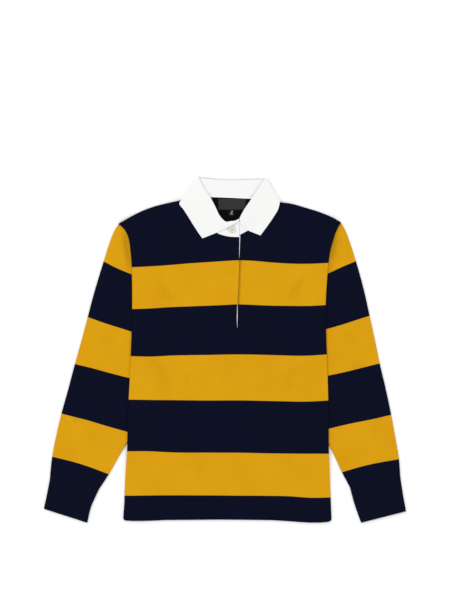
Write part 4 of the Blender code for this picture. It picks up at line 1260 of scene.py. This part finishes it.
hemRows = [hemRow(up) for up in hem["sewnUp"]]
hemStitches = stitchPiece("hemStitching", sewnCopies(hemRows, frontFace), navyThread)
cuffSeam = {"sewnBack": (3.0, 7.0), "sewnIn": 6.0}
cuffRows = [cuffSeamRow(stations, back, cuffSeam["sewnIn"])
            for stations in sleeves.values() for back in cuffSeam["sewnBack"]]
cuffStitches = stitchPiece("cuffSeamStitching", sewnCopies(cuffRows, sleeveFace), navyThread)

footY = placket["endY"] + 1.0
slitYs = np.linspace(footY, placket["sewnTopY"], 60)
placketRow = np.stack([slitX(slitYs) - placket["sewnIn"], slitYs], axis=-1)
placketFoot = np.array([(slitX(footY) - placket["sewnIn"] + 1.0, footY), (slitX(footY) - 1.5, footY)])
placketStitches = stitchPiece(
    "placketStitching", sewnCopies([placketRow, placketFoot], frontFace, rise=0.24), jersey, "body")


def leafRow(rows, front, back):
    # a line this far in from a leaf's edges: down its side and back along its front
    line = np.array([*(row[2:] for row in rows), *front])
    middle = np.mean([row[:2] for row in rows], axis=0)
    ways = np.diff(line, axis=0)
    inwards = np.stack([-ways[:, 1], ways[:, 0]], axis=-1) / np.linalg.norm(ways, axis=1)[:, None]
    inwards = inwards * np.sign(((middle - line[:-1]) * inwards).sum(axis=1))[:, None]
    first, second = np.vstack([inwards[:1], inwards]), np.vstack([inwards, inwards[-1:]])
    return line + (first + second) / (1.0 + (first * second).sum(axis=1))[:, None] * back


leafSewing = {"back": 5.0, "lapEnd": (-2.0, 239.0)}
leafRows = [
    leafRow([fall["leftWrap"], *reversed(fall["left"])],
            (*fall["lap"][0][:2:-1], leafSewing["lapEnd"]), leafSewing["back"]),
    leafRow([fall["rightWrap"], *fall["right"]], fall["rightEnd"][:1:-1], leafSewing["back"]),
]


def standFace(x, y):
    return fallTop(x, y) - collar["standDepth"]


standRow = np.array([
    (26.6, 248.0), (26.6, 226.0), (16.2, 226.2), (5.4, 227.4), (-5.6, 230.2), (-12.0, 232.6)])
fine = {"pitch": 3.0, "length": 2.3, "width": 0.48, "rise": 0.24}
collarStitches = stitchPiece(
    "collarStitching", sewnCopies(leafRows, fallFace, **fine) + sewnCopies([standRow], standFace, **fine),
    whiteThread)


def labelFace(x, y):
    return bodyLift(x, y) + jerseyWall + neckLabel["gap"] + 0.1 + neckLabel["wall"]


labelRow = [(x, neckLabel["highY"] - 1.6) for x in (neckLabel["lowX"] + 1.2, neckLabel["highX"] - 1.2)]
labelStitches = stitchPiece(
    "labelStitching", sewnCopies([labelRow], labelFace, pitch=2.6, length=2.0, rise=0.38), greyThread)

# two plain woven marks on the tab, in place of a size
markRows = [[(12.4, 275.6), (16.2, 275.6)], [(9.6, 270.2), (16.6, 270.2)], [(10.6, 272.8), (15.6, 272.8)]]
tabMarks = stitchPiece(
    "tabMarks", sewnCopies(markRows, labelFace, pitch=1.9, length=1.6, width=1.2, rise=0.39), markThread)
print("stitches made")


# the button is the part's own solid, with its thread on it and the buttonhole under it
buttonSewing = {"reach": 1.2, "strands": (-0.34, 0.0, 0.34)}
holeBars = {"lowY": 238.2, "highY": 241.0, "xs": np.arange(4.6, 23.6, 0.75)}
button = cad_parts["button"]
button.data.materials.clear()
button.data.materials.append(rubber)


def buttonFace(x, y):
    return np.full(np.shape(x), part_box("button")[1].z / mm)


threadRows = []
for away in (-buttonSewing["reach"], buttonSewing["reach"]):
    for strand in buttonSewing["strands"]:
        rowY = buttonSpot["y"] + away + strand
        threadRows.append([(buttonSpot["x"] + side * buttonSewing["reach"], rowY) for side in (-1, 1)])
stitchPiece("buttonThread", sewnCopies(threadRows, buttonFace, length=2.3, width=0.4, rise=-0.3),
            whiteThread)
holeRows = [[(x, holeBars["lowY"]), (x, holeBars["highY"])] for x in holeBars["xs"]]
buttonhole = stitchPiece(
    "buttonhole", sewnCopies(holeRows, standFace, length=2.8, width=0.6, rise=0.34), whiteThread)
bpy.data.objects.remove(stitch)
print("button made")

studio = {
    "floorSize": 8.0,
    "floorDrop": 0.0004,
    "cameraHeight": 3.003,
    "lens": 90.0,
    "aimX": 0.0001,
    "aimY": 0.0982,
    "worldStrength": 0.735,
    # each lamp's place, size and power
    "lamps": {
        "keyLight": ((-1.6, 1.6, 2.6), 2.2, 38.4),
        "fillLight": ((1.6, -1.5, 2.8), 2.6, 23.04),
    },
}
floorMaterial = speckled("whitePaperFloor", "#FEFEFE", "#FDFDFD", 30.0, finishOf(0.95, 0.1, 1.45), 0.0001)
bpy.ops.object.select_all(action="DESELECT")
bpy.ops.mesh.primitive_plane_add(size=studio["floorSize"], location=(0.0, 0.0, -studio["floorDrop"]))
floor = bpy.context.object
floor.name = "studioFloor"
floor.data.materials.append(floorMaterial)

world = bpy.data.worlds.new("softRoom")
world.use_nodes = True
background = world.node_tree.nodes["Background"]
background.inputs["Color"].default_value = (1.0, 1.0, 1.0, 1.0)
background.inputs["Strength"].default_value = studio["worldStrength"]
bpy.context.scene.world = world

for name, (place, size, power) in studio["lamps"].items():
    data = bpy.data.lights.new(name, "AREA")
    data.shape = "SQUARE"
    data.size = size
    data.energy = power
    lamp = bpy.data.objects.new(name, data)
    lamp.location = place
    lamp.rotation_euler = (-lamp.location).to_track_quat("-Z", "Y").to_euler()
    bpy.context.scene.collection.objects.link(lamp)

cameraData = bpy.data.cameras.new("topCamera")
cameraData.lens = studio["lens"]
camera = bpy.data.objects.new("topCamera", cameraData)
camera.location = (studio["aimX"], studio["aimY"], studio["cameraHeight"])
bpy.context.scene.collection.objects.link(camera)
bpy.context.scene.camera = camera
bpy.context.scene.view_settings.view_transform = "Standard"
print("studio made")
